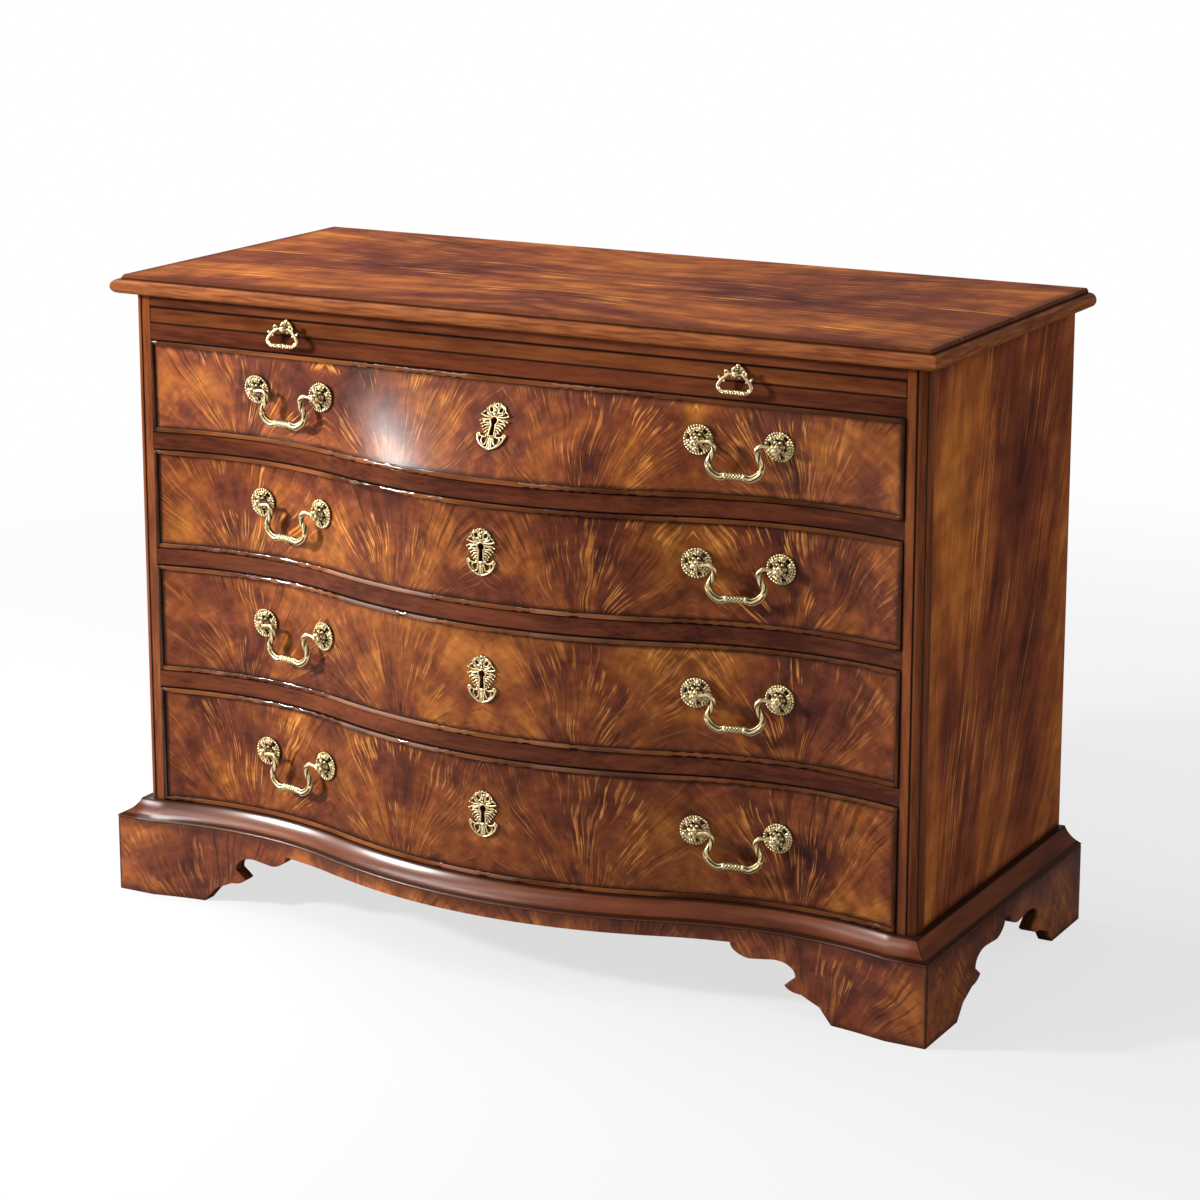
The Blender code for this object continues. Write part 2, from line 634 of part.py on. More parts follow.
def handle(number, side, brass, parent):
    """Two rosettes and the bail that hangs between them."""
    name = f"drawer_{number + 1}_{'left' if side < 0 else 'right'}"
    low, high = drawer_opening(number)
    height = (low + high) / 2 + HANDLE_RISE
    pivots = {}
    for word, away in (("inner", -1), ("outer", 1)):
        x = side * (HANDLE_FROM_MIDDLE + away * HANDLE_CENTRES / 2)
        normal = face_normal(number, x, height)
        face = Vector((x, face_y(number, x, height), height))
        foot = face + normal * seat(number, face, normal)
        pivot = foot + normal * PIN_HEIGHT
        pivot.z = height
        pivots[word] = (pivot, foot, normal)
    across = (pivots["inner"][0] - pivots["outer"][0]).normalized()
    for word, (pivot, foot, normal) in pivots.items():
        inward = across if word == "outer" else -across
        piece = place(rosette(), f"{name}_{word}_rosette", brass, parent,
                      standing(foot, normal, (1, 0, 0)))
        bore = pin_bore(f"{name}_{word}_bore", pivot, inward, PIN_RADIUS + PIN_PLAY,
                        KNOB_RADIUS - PIN_INSIDE - NECK_RADIUS, KNOB_RADIUS + PAST, parent)
        cut(piece, [bore])
    left, right = sorted((pivots["inner"][0], pivots["outer"][0]), key=lambda point: point.x)
    curve = bail_curve(f"{name}_bail", swan_neck((right - left).length / 2), 2)
    turn = Matrix.Rotation(math.atan2(right.y - left.y, right.x - left.x), 4, "Z")
    place(curve, f"{name}_bail", brass, parent, Matrix.Translation((left + right) / 2) @ turn)


def drawer(number, woods, brass):
    """One drawer with its brass, parented to an empty on its line of travel."""
    name = f"drawer_{number + 1}"
    low, high = drawer_opening(number)
    runner = empty(name, (0, Y_FRONT, (low + high) / 2))
    front = place(drawer_front(number), name + "_front", woods["veneer"], runner)
    drawer_box(number, name + "_box", woods["lining"], runner)
    place(drawer_bottom(number), name + "_bottom", woods["lining"], runner)
    height = (low + high) / 2 + ESCUTCHEON_RISE
    normal = face_normal(number, 0, height)
    foot = Vector((0, face_y(number, 0, height), height))
    plate = place(escutcheon(), name + "_escutcheon", brass, runner,
                  standing(foot + normal * FIT, normal, (1, 0, 0)))
    hole = place(keyhole(KEYHOLE_DEPTH, PAST), name + "_keyhole_cutter", None, runner,
                 standing(foot, normal, (1, 0, 0)))
    cut(front, [hole])
    cut(plate, [hole])
    for side in (-1, 1):
        handle(number, side, brass, runner)


def slide(woods, brass):
    """Brushing slide with its two drop pulls."""
    half = OPEN - RUN
    runner = empty("slide_runner", (0, Y_FRONT, SLIDE_FLOOR))
    board = block((-half, Y_FRONT, SLIDE_FLOOR + FIT),
                  (half, Y_INSIDE - SLIDE_BACK_GAP, SLIDE_TOP - RUN))
    place(board, "brushing_slide", woods["plain"], runner)
    height = (SLIDE_FLOOR + SLIDE_TOP) / 2
    for side, word in ((-1, "left"), (1, "right")):
        x = side * HANDLE_FROM_MIDDLE
        foot = Vector((x, Y_FRONT - FIT, height))
        pivot = Vector((x, foot.y - PULL_PIN_HEIGHT, height))
        post = place(pull_post(), f"slide_{word}_post", brass, runner,
                     standing(foot, (0, -1, 0), (1, 0, 0)))
        bore = pin_bore(f"slide_{word}_bore", pivot, (1, 0, 0), PULL_PIN + PULL_PLAY,
                        -PULL_KNOB - PAST, PULL_KNOB + PAST, runner)
        cut(post, [bore])
        place(bail_curve(f"slide_{word}_bail", drop_ring(), 2), f"slide_{word}_bail", brass, runner,
              Matrix.Translation(pivot))


def carcass(woods):
    """Everything that stands still."""
    for side, word in ((-1, "left"), (1, "right")):
        place(corner_stile(side), f"{word}_corner_stile", woods["plain"])
        place(side_panel(side), f"{word}_side_panel", woods["veneer"])
    place(back_panel(), "back_panel", woods["lining"])
    rail = block((FIT - OPEN, Y_FRONT, SLIDE_TOP), (OPEN - FIT, Y_FRONT + RAIL_DEPTH, Z_CASE_TOP))
    place(rail, "top_rail", woods["plain"])
    place(divider(SLIDE_FLOOR, SLIDE_RAIL, False), "slide_divider", woods["plain"])
    for number in range(len(DRAWER_OPENINGS) - 1):
        top = drawer_opening(number)[0]
        shape = divider(top, DRAWER_RAIL, True)
        place(shape, f"drawer_divider_{number + 1}", woods["plain"])
    place(base_frame(), "base_frame", woods["plain"])
    plinth_pieces(woods["veneer"])
    place(top_board(), "top_board", woods["veneer"])


def main():
    for old in list(bpy.data.objects):
        bpy.data.objects.remove(old, do_unlink=True)
    woods = {"veneer": material("flame_mahogany", (0.30, 0.10, 0.03), 0.28),
             "plain": material("plain_mahogany", (0.19, 0.055, 0.022), 0.30),
             "lining": material("drawer_lining", (0.52, 0.36, 0.20), 0.60)}
    brass = material("antique_brass", (0.72, 0.58, 0.32), 0.32, 1.0)
    carcass(woods)
    slide(woods, brass)
    for number in range(len(DRAWER_OPENINGS)):
        drawer(number, woods, brass)


main()
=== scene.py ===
"""Looks of the serpentine chest of drawers: shaped woodwork, flame veneers, brass and the studio.

The front faces -Y and the floor is z = 0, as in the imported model. Sizes are in metres.
"""
import math

import bmesh
import bpy
from mathutils import Matrix, Vector


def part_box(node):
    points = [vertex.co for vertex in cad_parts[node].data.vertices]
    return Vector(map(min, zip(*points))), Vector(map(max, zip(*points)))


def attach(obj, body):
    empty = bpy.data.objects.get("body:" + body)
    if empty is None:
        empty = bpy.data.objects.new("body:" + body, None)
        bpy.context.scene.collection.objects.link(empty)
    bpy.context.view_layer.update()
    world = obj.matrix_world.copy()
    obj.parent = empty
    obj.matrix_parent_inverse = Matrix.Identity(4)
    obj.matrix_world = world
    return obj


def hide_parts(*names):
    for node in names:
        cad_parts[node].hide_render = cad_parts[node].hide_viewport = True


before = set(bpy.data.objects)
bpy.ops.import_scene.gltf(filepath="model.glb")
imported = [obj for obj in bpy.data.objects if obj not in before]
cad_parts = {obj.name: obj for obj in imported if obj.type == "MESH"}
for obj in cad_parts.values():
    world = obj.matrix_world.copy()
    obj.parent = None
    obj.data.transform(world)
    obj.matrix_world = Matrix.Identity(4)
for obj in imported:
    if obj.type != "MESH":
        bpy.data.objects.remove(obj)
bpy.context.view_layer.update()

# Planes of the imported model
STILE_LOW, STILE_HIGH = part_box("right_corner_stile")
OPEN = STILE_LOW.x                          # half the width between the corner stiles
HALF = STILE_HIGH.x                         # half the width of the case
Y_FRONT = STILE_LOW.y
Y_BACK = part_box("right_side_panel")[1].y
TOP_LOW, TOP_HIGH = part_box("top_board")
SLIDE_LOW, SLIDE_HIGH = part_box("brushing_slide")
PLINTH_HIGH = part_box("plinth_front")[1]
PLINTH_HALF = PLINTH_HIGH.x
PLINTH_TOP = PLINTH_HIGH.z
Y_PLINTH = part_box("plinth_right")[0].y
BASE_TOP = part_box("base_frame")[1].z
BACK_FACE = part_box("back_panel")[1].y
BACK_SINK = 0.004                           # depth of the back's boards in their frame
FIT = 0.0003                                # gap between pieces that touch
MERGE = 0.00001                             # points nearer than this become one
MM = 0.001
SIDES = ((-1, "left"), (1, "right"))

# Serpentine line, seen from above
SWELL_BULGE = 0.061
SWELL_DIP = 0.017
SWELL_DIP_INSET = 0.130
SWELL_TURN = 0.585
FRONT_STEPS = 120
BASE_STEPS = 100
PLINTH_STEPS = 72

# Drawers, from the top down
DRAWERS = range(4)
FRONT_THICKNESS = 0.022
FRONT_ROWS = (12, 4, 4, 4)                  # more on the first front, which is twisted
BEAD_WIDTH = 0.0055
BEAD_HEIGHT = 0.0030
BEAD_ROUND = 0.46                           # share of the bead's width
RUN = 0.0010                                # gap round a drawer front
# Brightness of each front's figure; its fall from the top front downwards is painted light, standing in for
# the lamps' fall-off down the chest
DRAWER_BRIGHTNESS_AND_FALLOFF = (1.50, 1.20, 1.14, 1.04)
FIGURE_SEEDS = (2.0, 15.0, 33.5, 41.0)
LEAF = 0.272                                # width of a leaf of veneer
LEAF_DRIFT = 1.6                            # change of the figure along a row of leaves, in a metre
KEYHOLE_RISE = 0.0035                       # above the middle of a front
KEYHOLE_HEAD = 0.0047                       # radius
KEYHOLE_LENGTH = 0.0238
KEYHOLE_DEPTH = 0.014
KEYHOLE_PAST = 0.020                        # reach of the cutter before the face

# Mouldings
TOP_NOSE = 0.0095
TOP_OVERHANG = 0.025
TOP_STEP = 0.0022
TOP_ARRIS = 0.011
CORNER_ROUND = 0.003
CORNER_BEAD = 0.0092
QUIRK = 0.0014
STILE_DEPTH = 0.032
PLINTH_PROJECTION = 0.0325
PLINTH_THICKNESS = 0.020
BASE_LIP = 0.0035
BASE_LIP_PROUD = 0.0012
BASE_FILLET = 0.0008
BASE_FILLET_PROUD = 0.0085
BASE_COVE_SAG = 0.105
APRON = 0.018
FRONT_FOOT = 0.134
FRONT_BRACKET = 0.139
SIDE_FOOT = 0.100
SIDE_APRON_LENGTH = 0.0165
REAR_RETURN = 0.110
# Edge of a bracket foot as shares of its run and height, each with the sag of the arc that leads there
BRACKET_EDGE = (((0.12, 0.23), 0), ((0.31, 0.365), 0), ((0.475, 0.465), -0.16), ((0.37, 0.60), 0),
                ((0.60, 0.82), 0.25), ((0.82, 0.785), 0), ((1.0, 1.0), -0.16))

# Widths of eased edges
TOP_EASE = 0.0005
SIDE_EASE = 0.0007
BOARD_EASE = 0.0008
WORN_EASE = 0.001


def serpentine(x):
    """How far the front stands before the corners at this place."""
    reach = abs(x)
    dip = OPEN - SWELL_DIP_INSET
    turn = SWELL_TURN * dip
    rise = SWELL_BULGE + SWELL_DIP
    if reach < turn:
        return SWELL_BULGE - rise * reach ** 2 / (turn * dip)
    if reach < dip:
        return rise * (dip - reach) ** 2 / ((dip - turn) * dip) - SWELL_DIP
    if reach < OPEN:
        return SWELL_DIP * ((reach - dip) / SWELL_DIP_INSET) ** 2 - SWELL_DIP
    return 0.0


# Lower and upper height of each drawer front, from the top down
OPENINGS = [tuple(corner.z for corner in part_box(f"drawer_{number + 1}_front")) for number in DRAWERS]


def face_y(number, x, z):
    """Y of a drawer's face; the first one swells from straight to serpentine."""
    if number:
        return Y_FRONT - serpentine(x)
    low, high = OPENINGS[number]
    share = (high + RUN - z) / (high - low + 2 * RUN)
    return Y_FRONT - share * serpentine(x)


def face_normal(number, x, z):
    """Way that a drawer's face looks, found from points a step to each side."""
    step = 0.02
    along_x = (face_y(number, x + step, z) - face_y(number, x - step, z)) / (2 * step)
    along_z = (face_y(number, x, z + step) - face_y(number, x, z - step)) / (2 * step)
    return Vector((along_x, -1.0, along_z)).normalized()


# Making pieces

TARNISH = "tarnish"
POLISH = "polish"


def blank():
    """Empty shape whose points carry a share of tarnish."""
    shape = bmesh.new()
    shape.verts.layers.float.new(TARNISH)
    return shape


def step_between(value, low, high):
    """Share of the way from low to high, held between 0 and 1."""
    return max(0.0, min(1.0, (value - low) / (high - low)))


def tiers(outlines, marks=None):
    """Closed solid grown by extruding one outline through the others, with its tarnish where given."""
    shape = blank()
    layer = shape.verts.layers.float[TARNISH]
    face = shape.faces.new([shape.verts.new(point) for point in outlines[0]])
    rings = [list(face.verts)]
    for number, outline in enumerate(outlines[1:]):
        grown = bmesh.ops.extrude_face_region(shape, geom=[face])["geom"]
        if number:
            bmesh.ops.delete(shape, geom=[face], context="FACES_ONLY")
        face = next(item for item in grown if isinstance(item, bmesh.types.BMFace))
        rings.append(list(face.verts))
        for vert, point in zip(face.verts, outline):
            vert.co = point
    for ring, values in zip(rings, marks or ()):
        for vert, value in zip(ring, values):
            vert[layer] = value
    return shape


def grown_verts(shape, faces):
    """Extrude faces and give the new vertices."""
    grown = bmesh.ops.extrude_face_region(shape, geom=faces)["geom"]
    return [item for item in grown if isinstance(item, bmesh.types.BMVert)]


def ease(shape, width, angle=30, segments=2, keep=None):
    """Take the sharpness off the edges that turn by more than an angle."""
    edges = [edge for edge in shape.edges if len(edge.link_faces) == 2
             and edge.calc_face_angle() > math.radians(angle) and (keep is None or keep(edge))]
    bmesh.ops.bevel(shape, geom=edges, offset=width, offset_type="OFFSET", affect="EDGES",
                    segments=segments, profile=0.5, material=-1, clamp_overlap=True)
    return shape


def packed(node, width):
    """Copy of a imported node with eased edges."""
    shape = bmesh.new()
    shape.from_mesh(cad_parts[node].data)
    bmesh.ops.remove_doubles(shape, verts=shape.verts, dist=MERGE)
    bmesh.ops.dissolve_limit(shape, angle_limit=math.radians(0.5), verts=shape.verts,
                             edges=shape.edges)
    return ease(shape, width)


def meshed(name, shape):
    """Mesh of a shape, which is freed."""
    mesh = bpy.data.meshes.new(name)
    shape.to_mesh(mesh)
    shape.free()
    return mesh


def shown(name, data):
    """Object in the scene for a mesh, a lamp or a camera."""
    made = bpy.data.objects.new(name, data)
    bpy.context.collection.objects.link(made)
    return made


def piece(name, shape, finish, body, nodes=(), smooth=40):
    """Object from a bmesh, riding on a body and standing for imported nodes."""
    bmesh.ops.recalc_face_normals(shape, faces=shape.faces)
    mesh = meshed(name, shape)
    mesh.shade_smooth()
    mesh.set_sharp_from_angle(angle=math.radians(smooth))
    mesh.materials.append(finish)
    made = shown(name, mesh)
    even = made.modifiers.new("even_normals", "WEIGHTED_NORMAL")
    even.keep_sharp = True
    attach(made, body)
    if nodes:
        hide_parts(*nodes)
    return made


def carved(shape, cutter):
    """Shape with another shape cut out of it."""
    parts = []
    for name, source in (("carved", shape), ("cutter", cutter)):
        bmesh.ops.recalc_face_normals(source, faces=source.faces)
        parts.append(shown(name, meshed(name, source)))
    change = parts[0].modifiers.new("cut", "BOOLEAN")
    change.operation = "DIFFERENCE"
    change.solver = "EXACT"
    change.object = parts[1]
    result = bmesh.new()
    result.from_object(parts[0], bpy.context.evaluated_depsgraph_get())
    for part in parts:
        bpy.data.objects.remove(part, do_unlink=True)
    return result


def axes(origin, x_axis, y_axis, z_axis):
    """Frame at a point with these axes."""
    return Matrix.Translation(origin) @ Matrix((x_axis, y_axis, z_axis)).transposed().to_4x4()


def standing(point, normal, across):
    """Frame with Z along a face's normal and X as near to across as it can be."""
    z_axis = Vector(normal).normalized()
    y_axis = z_axis.cross(Vector(across)).normalized()
    return axes(point, y_axis.cross(z_axis), y_axis, z_axis)


# Finishes

LACQUER = {"Coat_Weight": 0.22, "Coat_Roughness": 0.30, "Specular_IOR_Level": 0.0}
SATIN = {"Coat_Weight": 0.14, "Coat_Roughness": 0.10, "Specular_IOR_Level": 0.0}
WAXED = {"Coat_Weight": 0.12, "Coat_Roughness": 0.12, "Specular_IOR_Level": 0.0}
FADED = {"Coat_Weight": 0.06, "Coat_Roughness": 0.20, "Specular_IOR_Level": 0.0}
GLOSSY = {"Coat_Weight": 0.28, "Coat_Roughness": 0.14, "Specular_IOR_Level": 0.0}
# Dark of glaze, also used as painted shade on the back's sunk edges
GLAZE_AND_SHADE_DARK = (0.026, 0.009, 0.005)
SPECK_CELLS = 26.0                          # in a metre
GRAIN_DEPTH = 0.00008
GRAIN_ROUGHNESS = 0.6                       # of the noise that makes straight grain
ALONG_X, ALONG_Z = (0.10, 1.0, 1.0), (1.0, 1.0, 0.10)
RAIL_LINE = 0.0014                          # half the width of a line of glaze
CORNER_LINE = 0.0016


class Nodes:
    """Node tree of a material or of the world, built node by node."""

    def __init__(self, owner):
        owner.use_nodes = True
        self.tree = owner.node_tree

    def put(self, value, socket):
        if isinstance(value, bpy.types.NodeSocket):
            self.tree.links.new(value, socket)
        else:
            socket.default_value = value

    def add(self, kind, values, **settings):
        node = self.tree.nodes.new("ShaderNode" + kind)
        for name, value in settings.items():
            setattr(node, name, value)
        for key, value in values.items():
            self.put(value, node.inputs[key])
        return node

    def calc(self, operation, *values):
        return self.add("Math", dict(enumerate(values)), operation=operation).outputs[0]

    def chain(self, operation, values):
        total = values[0]
        for value in values[1:]:
            total = self.calc(operation, total, value)
        return total

    def plus(self, *values):
        return self.chain("ADD", values)

    def minus(self, first, second):
        return self.calc("SUBTRACT", first, second)

    def times(self, *values):
        return self.chain("MULTIPLY", values)

    def least(self, *values):
        return self.chain("MINIMUM", values)

    def most(self, *values):
        return self.chain("MAXIMUM", values)

    def absolute(self, value):
        return self.calc("ABSOLUTE", value)

    def spot(self, kind="Object"):
        return self.add("TexCoord", {}).outputs[kind]

    def place(self, kind="Object"):
        """Coordinates as three numbers."""
        return self.add("SeparateXYZ", {0: self.spot(kind)}).outputs

    def vector(self, x, y, z):
        return self.add("CombineXYZ", {0: x, 1: y, 2: z}).outputs[0]

    def smooth(self, value, low, high, from_value=0.0, to_value=1.0):
        """Soft step of a number from one value to another."""
        return self.add("MapRange", {0: value, 1: low, 2: high, 3: from_value, 4: to_value},
                        interpolation_type="SMOOTHSTEP").outputs[0]


class Finish(Nodes):
    """Procedural finish of a piece."""

    def __init__(self, name, **sockets):
        self.made = bpy.data.materials.new(name)
        super().__init__(self.made)
        self.shader = self.tree.nodes["Principled BSDF"]
        for socket, value in sockets.items():
            self.shader.inputs[socket.replace("_", " ")].default_value = value

    def noise(self, vector, scale=1.0, detail=2.0, rough=0.5):
        return self.add("TexNoise", {"Vector": vector, "Scale": scale, "Detail": detail,
                                     "Roughness": rough}).outputs["Fac"]

    def grain(self, stretch, *waves):
        """Noises for (waves a metre, detail) pairs, drawn out along the axis of the least stretch."""
        drawn = self.add("Mapping", {0: self.spot(), 3: stretch}).outputs[0]
        return [self.noise(drawn, scale, detail, GRAIN_ROUGHNESS) for scale, detail in waves]

    def mark(self, name):
        """Share that the points of a mesh carry under this name."""
        return self.add("Attribute", {}, attribute_name=name).outputs["Fac"]

    def ramp(self, factor, *stops):
        node = self.add("ValToRGB", {0: factor})
        points = node.color_ramp.elements
        while len(points) < len(stops):
            points.new(0.5)
        for point, (position, colour) in zip(points, stops):
            point.position = position
            point.color = (*colour, 1.0)
        return node.outputs["Color"]

    def mix(self, factor, low, high):
        node = self.add("Mix", {0: factor}, data_type="RGBA")
        for socket, value in ((node.inputs[6], low), (node.inputs[7], high)):
            self.put((*value, 1.0) if isinstance(value, tuple) else value, socket)
        return node.outputs[2]

    def tint(self, colour, share):
        """Colour made darker or brighter by a share."""
        return self.add("VectorMath", {0: colour, 1: self.vector(share, share, share)},
                        operation="MULTIPLY").outputs[0]

    # Mix towards the dark glaze, which on the back stands for painted shade
    def glaze_and_shade(self, colour, amount):
        return self.mix(amount, colour, GLAZE_AND_SHADE_DARK)

    def lined(self, colour, along, place, half):
        """Colour with a line of dark glaze across a place on an axis."""
        away = self.absolute(self.plus(along, -place))
        return self.glaze_and_shade(colour, self.smooth(away, half * 0.6, half * 1.5, 0.92, 0.0))

    def specked(self, colour):
        """Colour with the small dark dots of an old finish."""
        cells = self.add("TexVoronoi", {"Vector": self.spot(), "Scale": SPECK_CELLS})
        near = self.smooth(cells.outputs["Distance"], 0.018, 0.036, 1.0, 0.0)
        shade = self.add("SeparateColor", {0: cells.outputs["Color"]}).outputs[0]
        chosen = self.calc("GREATER_THAN", shade, 0.62)
        return self.glaze_and_shade(colour, self.times(near, chosen, 0.8))

    def done(self, colour, roughness, height, depth, strength):
        """Join the worked-out colour, roughness and relief to the shader."""
        self.put(colour, self.shader.inputs["Base Color"])
        self.put(roughness, self.shader.inputs["Roughness"])
        bump = self.add("Bump", {"Height": height, "Distance": depth, "Strength": strength})
        self.put(bump.outputs[0], self.shader.inputs["Normal"])
        return self.made


FLAME_TONES = ((0.35, (0.048, 0.012, 0.008)), (0.47, (0.102, 0.025, 0.011)),
               (0.56, (0.168, 0.046, 0.013)), (0.69, (0.280, 0.094, 0.018)))
# Bright tongues: waves a metre across and along the rays, shift, limits of the noise, strength, colour
FLAME_TONGUES = ((150.0, 10.0, 41.0, 0.57, 0.67, 0.30, (0.300, 0.098, 0.020)),
                 (280.0, 13.0, 3.0, 0.56, 0.63, 0.58, (0.420, 0.150, 0.030)),
                 (430.0, 17.0, 53.0, 0.55, 0.62, 0.72, (0.540, 0.215, 0.045)))
FLAME_LINES = (0.030, 0.008, 0.004)
FLAME_SWAY = 0.05
FLAME_WANDER = 0.005


def flame(finish, along, across, seed, origin, mean, core, bright=1.0, vivid=1.0, fine=1.0, short=1.0):
    """Colour and grain of flame figure, fanning out from a point below the piece.

    Origin is the depth of that point, mean the distance from it at which the waves have their true
    width, and core half the width of the dark plume in the middle. Vivid is the strength of the
    streaks; fine and short scale the waves across and along the rays.
    """

    def streaks(wide, long, shift, detail=2.0):
        """Noise drawn out along the rays, with this many waves a metre across and along them."""
        spot = finish.vector(finish.times(ray, wide * fine), finish.times(reach, long * short),
                             finish.plus(seed, shift))
        return finish.noise(spot, detail=detail, rough=0.55)

    drift = finish.noise(finish.vector(finish.times(along, 7.0 * short), finish.times(across, 7.0), seed))
    swayed = finish.plus(across, finish.times(finish.plus(drift, -0.5), FLAME_SWAY))
    away = finish.plus(along, origin)
    ray = finish.times(finish.calc("ARCTAN2", swayed, away), mean)
    reach = finish.calc("SQRT", finish.plus(finish.times(swayed, swayed), finish.times(away, away)))
    wander = streaks(30.0, 22.0, 5.0)
    ray = finish.plus(ray, finish.times(finish.plus(wander, -0.5), FLAME_WANDER / fine))
    clouds = streaks(11.0, 9.0, 11.0, 3.0)
    patches = streaks(40.0, 20.0, 71.0, 3.0)
    middle = finish.absolute(ray)
    tone = finish.plus(finish.times(clouds, 0.62), finish.times(patches, 0.38),
                       finish.smooth(middle, 0.0, core, -0.030, 0.032))
    colour = finish.ramp(tone, *FLAME_TONES)
    lively = finish.times(finish.smooth(middle, core * 0.8, core * 1.5, vivid, vivid * 0.18),
                          finish.smooth(swayed, -0.25 * core, 0.8 * core, 1.0, 0.5))
    for wide, long, shift, low, high, amount, glow in FLAME_TONGUES:
        clumps = finish.smooth(streaks(22.0, 15.0, shift + 23.0), 0.50, 0.61)
        tongues = finish.smooth(streaks(wide, long, shift), low, high)
        share = finish.times(finish.times(clumps, tongues), finish.times(lively, amount))
        colour = finish.mix(share, colour, glow)
    bundles = finish.smooth(streaks(18.0, 10.0, 37.0), 0.44, 0.58)
    lines = finish.times(finish.smooth(streaks(330.0, 8.0, 31.0), 0.53, 0.65), bundles,
                         finish.smooth(middle, core * 0.8, core * 1.4, 0.66, 0.20))
    colour = finish.mix(lines, colour, FLAME_LINES)
    grain = streaks(700.0, 30.0, 19.0)
    ripple = streaks(16.0, 120.0, 15.0)
    mottle = streaks(75.0, 60.0, 87.0, 4.0)
    shade = finish.times(finish.smooth(grain, 0.3, 0.7, 0.88 * bright, 1.10 * bright),
                         finish.smooth(ripple, 0.3, 0.7, 0.88, 1.10),
                         finish.smooth(mottle, 0.3, 0.7, 0.80, 1.20))
    return finish.tint(colour, shade), grain


def drawer_veneer(number):
    """Four book-matched leaves across a drawer front, dark towards its edges, with painted shade darkening
    its right end.
    """
    low, high = OPENINGS[number]
    finish = Finish(f"drawer_{number + 1}_flame_veneer", **(SATIN if number else LACQUER))
    x, _, z = finish.place()
    reach = finish.absolute(x)
    across = finish.plus(finish.absolute(finish.plus(reach, -LEAF)), -LEAF / 2)
    along = finish.plus(z, -low)
    seed = finish.plus(finish.times(x, LEAF_DRIFT), FIGURE_SEEDS[number])
    colour, grain = flame(finish, along, across, seed, origin=0.040, mean=0.12, core=0.10,
                          bright=DRAWER_BRIGHTNESS_AND_FALLOFF[number])
    # The seams between leaves step the tone; the fall towards the right end is painted shade
    leaves = finish.times(finish.smooth(reach, LEAF - 0.0006, LEAF + 0.0006, 0.95, 1.08),
                          finish.smooth(x, 0.15, 0.50, 1.0, 0.86 if number else 0.70))
    colour = finish.tint(colour, leaves)
    edge = finish.least(along, finish.minus(high, z), finish.minus(OPEN - RUN, reach))
    wave = finish.noise(finish.spot(), 40.0)
    worn = finish.plus(edge, finish.times(finish.plus(wave, -0.5), 0.006))
    glaze = finish.smooth(worn, BEAD_WIDTH - 0.001, BEAD_WIDTH + 0.007, 0.92, 0.0)
    colour = finish.specked(finish.glaze_and_shade(colour, glaze))
    rough = finish.smooth(grain, 0.2, 0.8, 0.24, 0.34)
    return finish.done(colour, rough, grain, GRAIN_DEPTH, 0.25)


def top_veneer():
    """Flame figure along the top, a dark border, and a plain rounded edge."""
    finish = Finish("top_flame_veneer", **FADED)
    x, y, z = finish.place()
    reach = finish.absolute(x)
    across = finish.plus(y, -(TOP_LOW.y + TOP_HIGH.y) / 2)
    colour, grain = flame(finish, reach, across, 61.0, origin=0.62, mean=0.85, core=0.17, bright=1.68,
                          vivid=0.90, fine=0.60, short=0.30)
    border = finish.least(finish.minus(HALF + TOP_ARRIS, reach), finish.plus(y, -(Y_FRONT - TOP_ARRIS)))
    glaze = finish.smooth(border, -0.001, 0.022, 0.72, 0.0)
    colour = finish.mix(glaze, colour, (0.070, 0.020, 0.010))
    drawn = finish.vector(finish.times(x, 3.0), finish.times(y, 3.0), finish.times(z, 40.0))
    bands = finish.noise(drawn, 7.0, 4.0)
    edge_wood = finish.ramp(bands, (0.34, (0.140, 0.038, 0.015)), (0.66, (0.300, 0.098, 0.030)))
    ledge = TOP_LOW.z + 2 * TOP_NOSE
    colour = finish.mix(finish.smooth(z, ledge, ledge + 0.001, 1.0, 0.0), colour, edge_wood)
    away = finish.absolute(finish.plus(z, -ledge - 0.0006))
    colour = finish.glaze_and_shade(colour, finish.smooth(away, 0.0004, 0.0016, 0.85, 0.0))
    return finish.done(colour, 0.40, grain, GRAIN_DEPTH, 0.3)


def side_veneer():
    """Flame figure of the side panels, which leans to the back and is dark in its middle."""
    finish = Finish("side_flame_veneer", **FADED)
    x, y, z = finish.place()
    across = finish.plus(y, finish.times(x, 0.02), finish.times(z, -0.30), 0.05)
    colour, grain = flame(finish, finish.plus(z, -0.1), across, 83.0, origin=0.75, mean=1.05, core=0.15,
                          bright=1.75, vivid=0.65, fine=0.60, short=0.30)
    low = finish.smooth(z, BASE_TOP, BASE_TOP + 0.012, 0.7, 0.0)
    high = finish.smooth(z, TOP_LOW.z - 0.010, TOP_LOW.z, 0.0, 0.8)
    return finish.done(finish.glaze_and_shade(colour, finish.most(low, high)), 0.34, grain, GRAIN_DEPTH, 0.25)


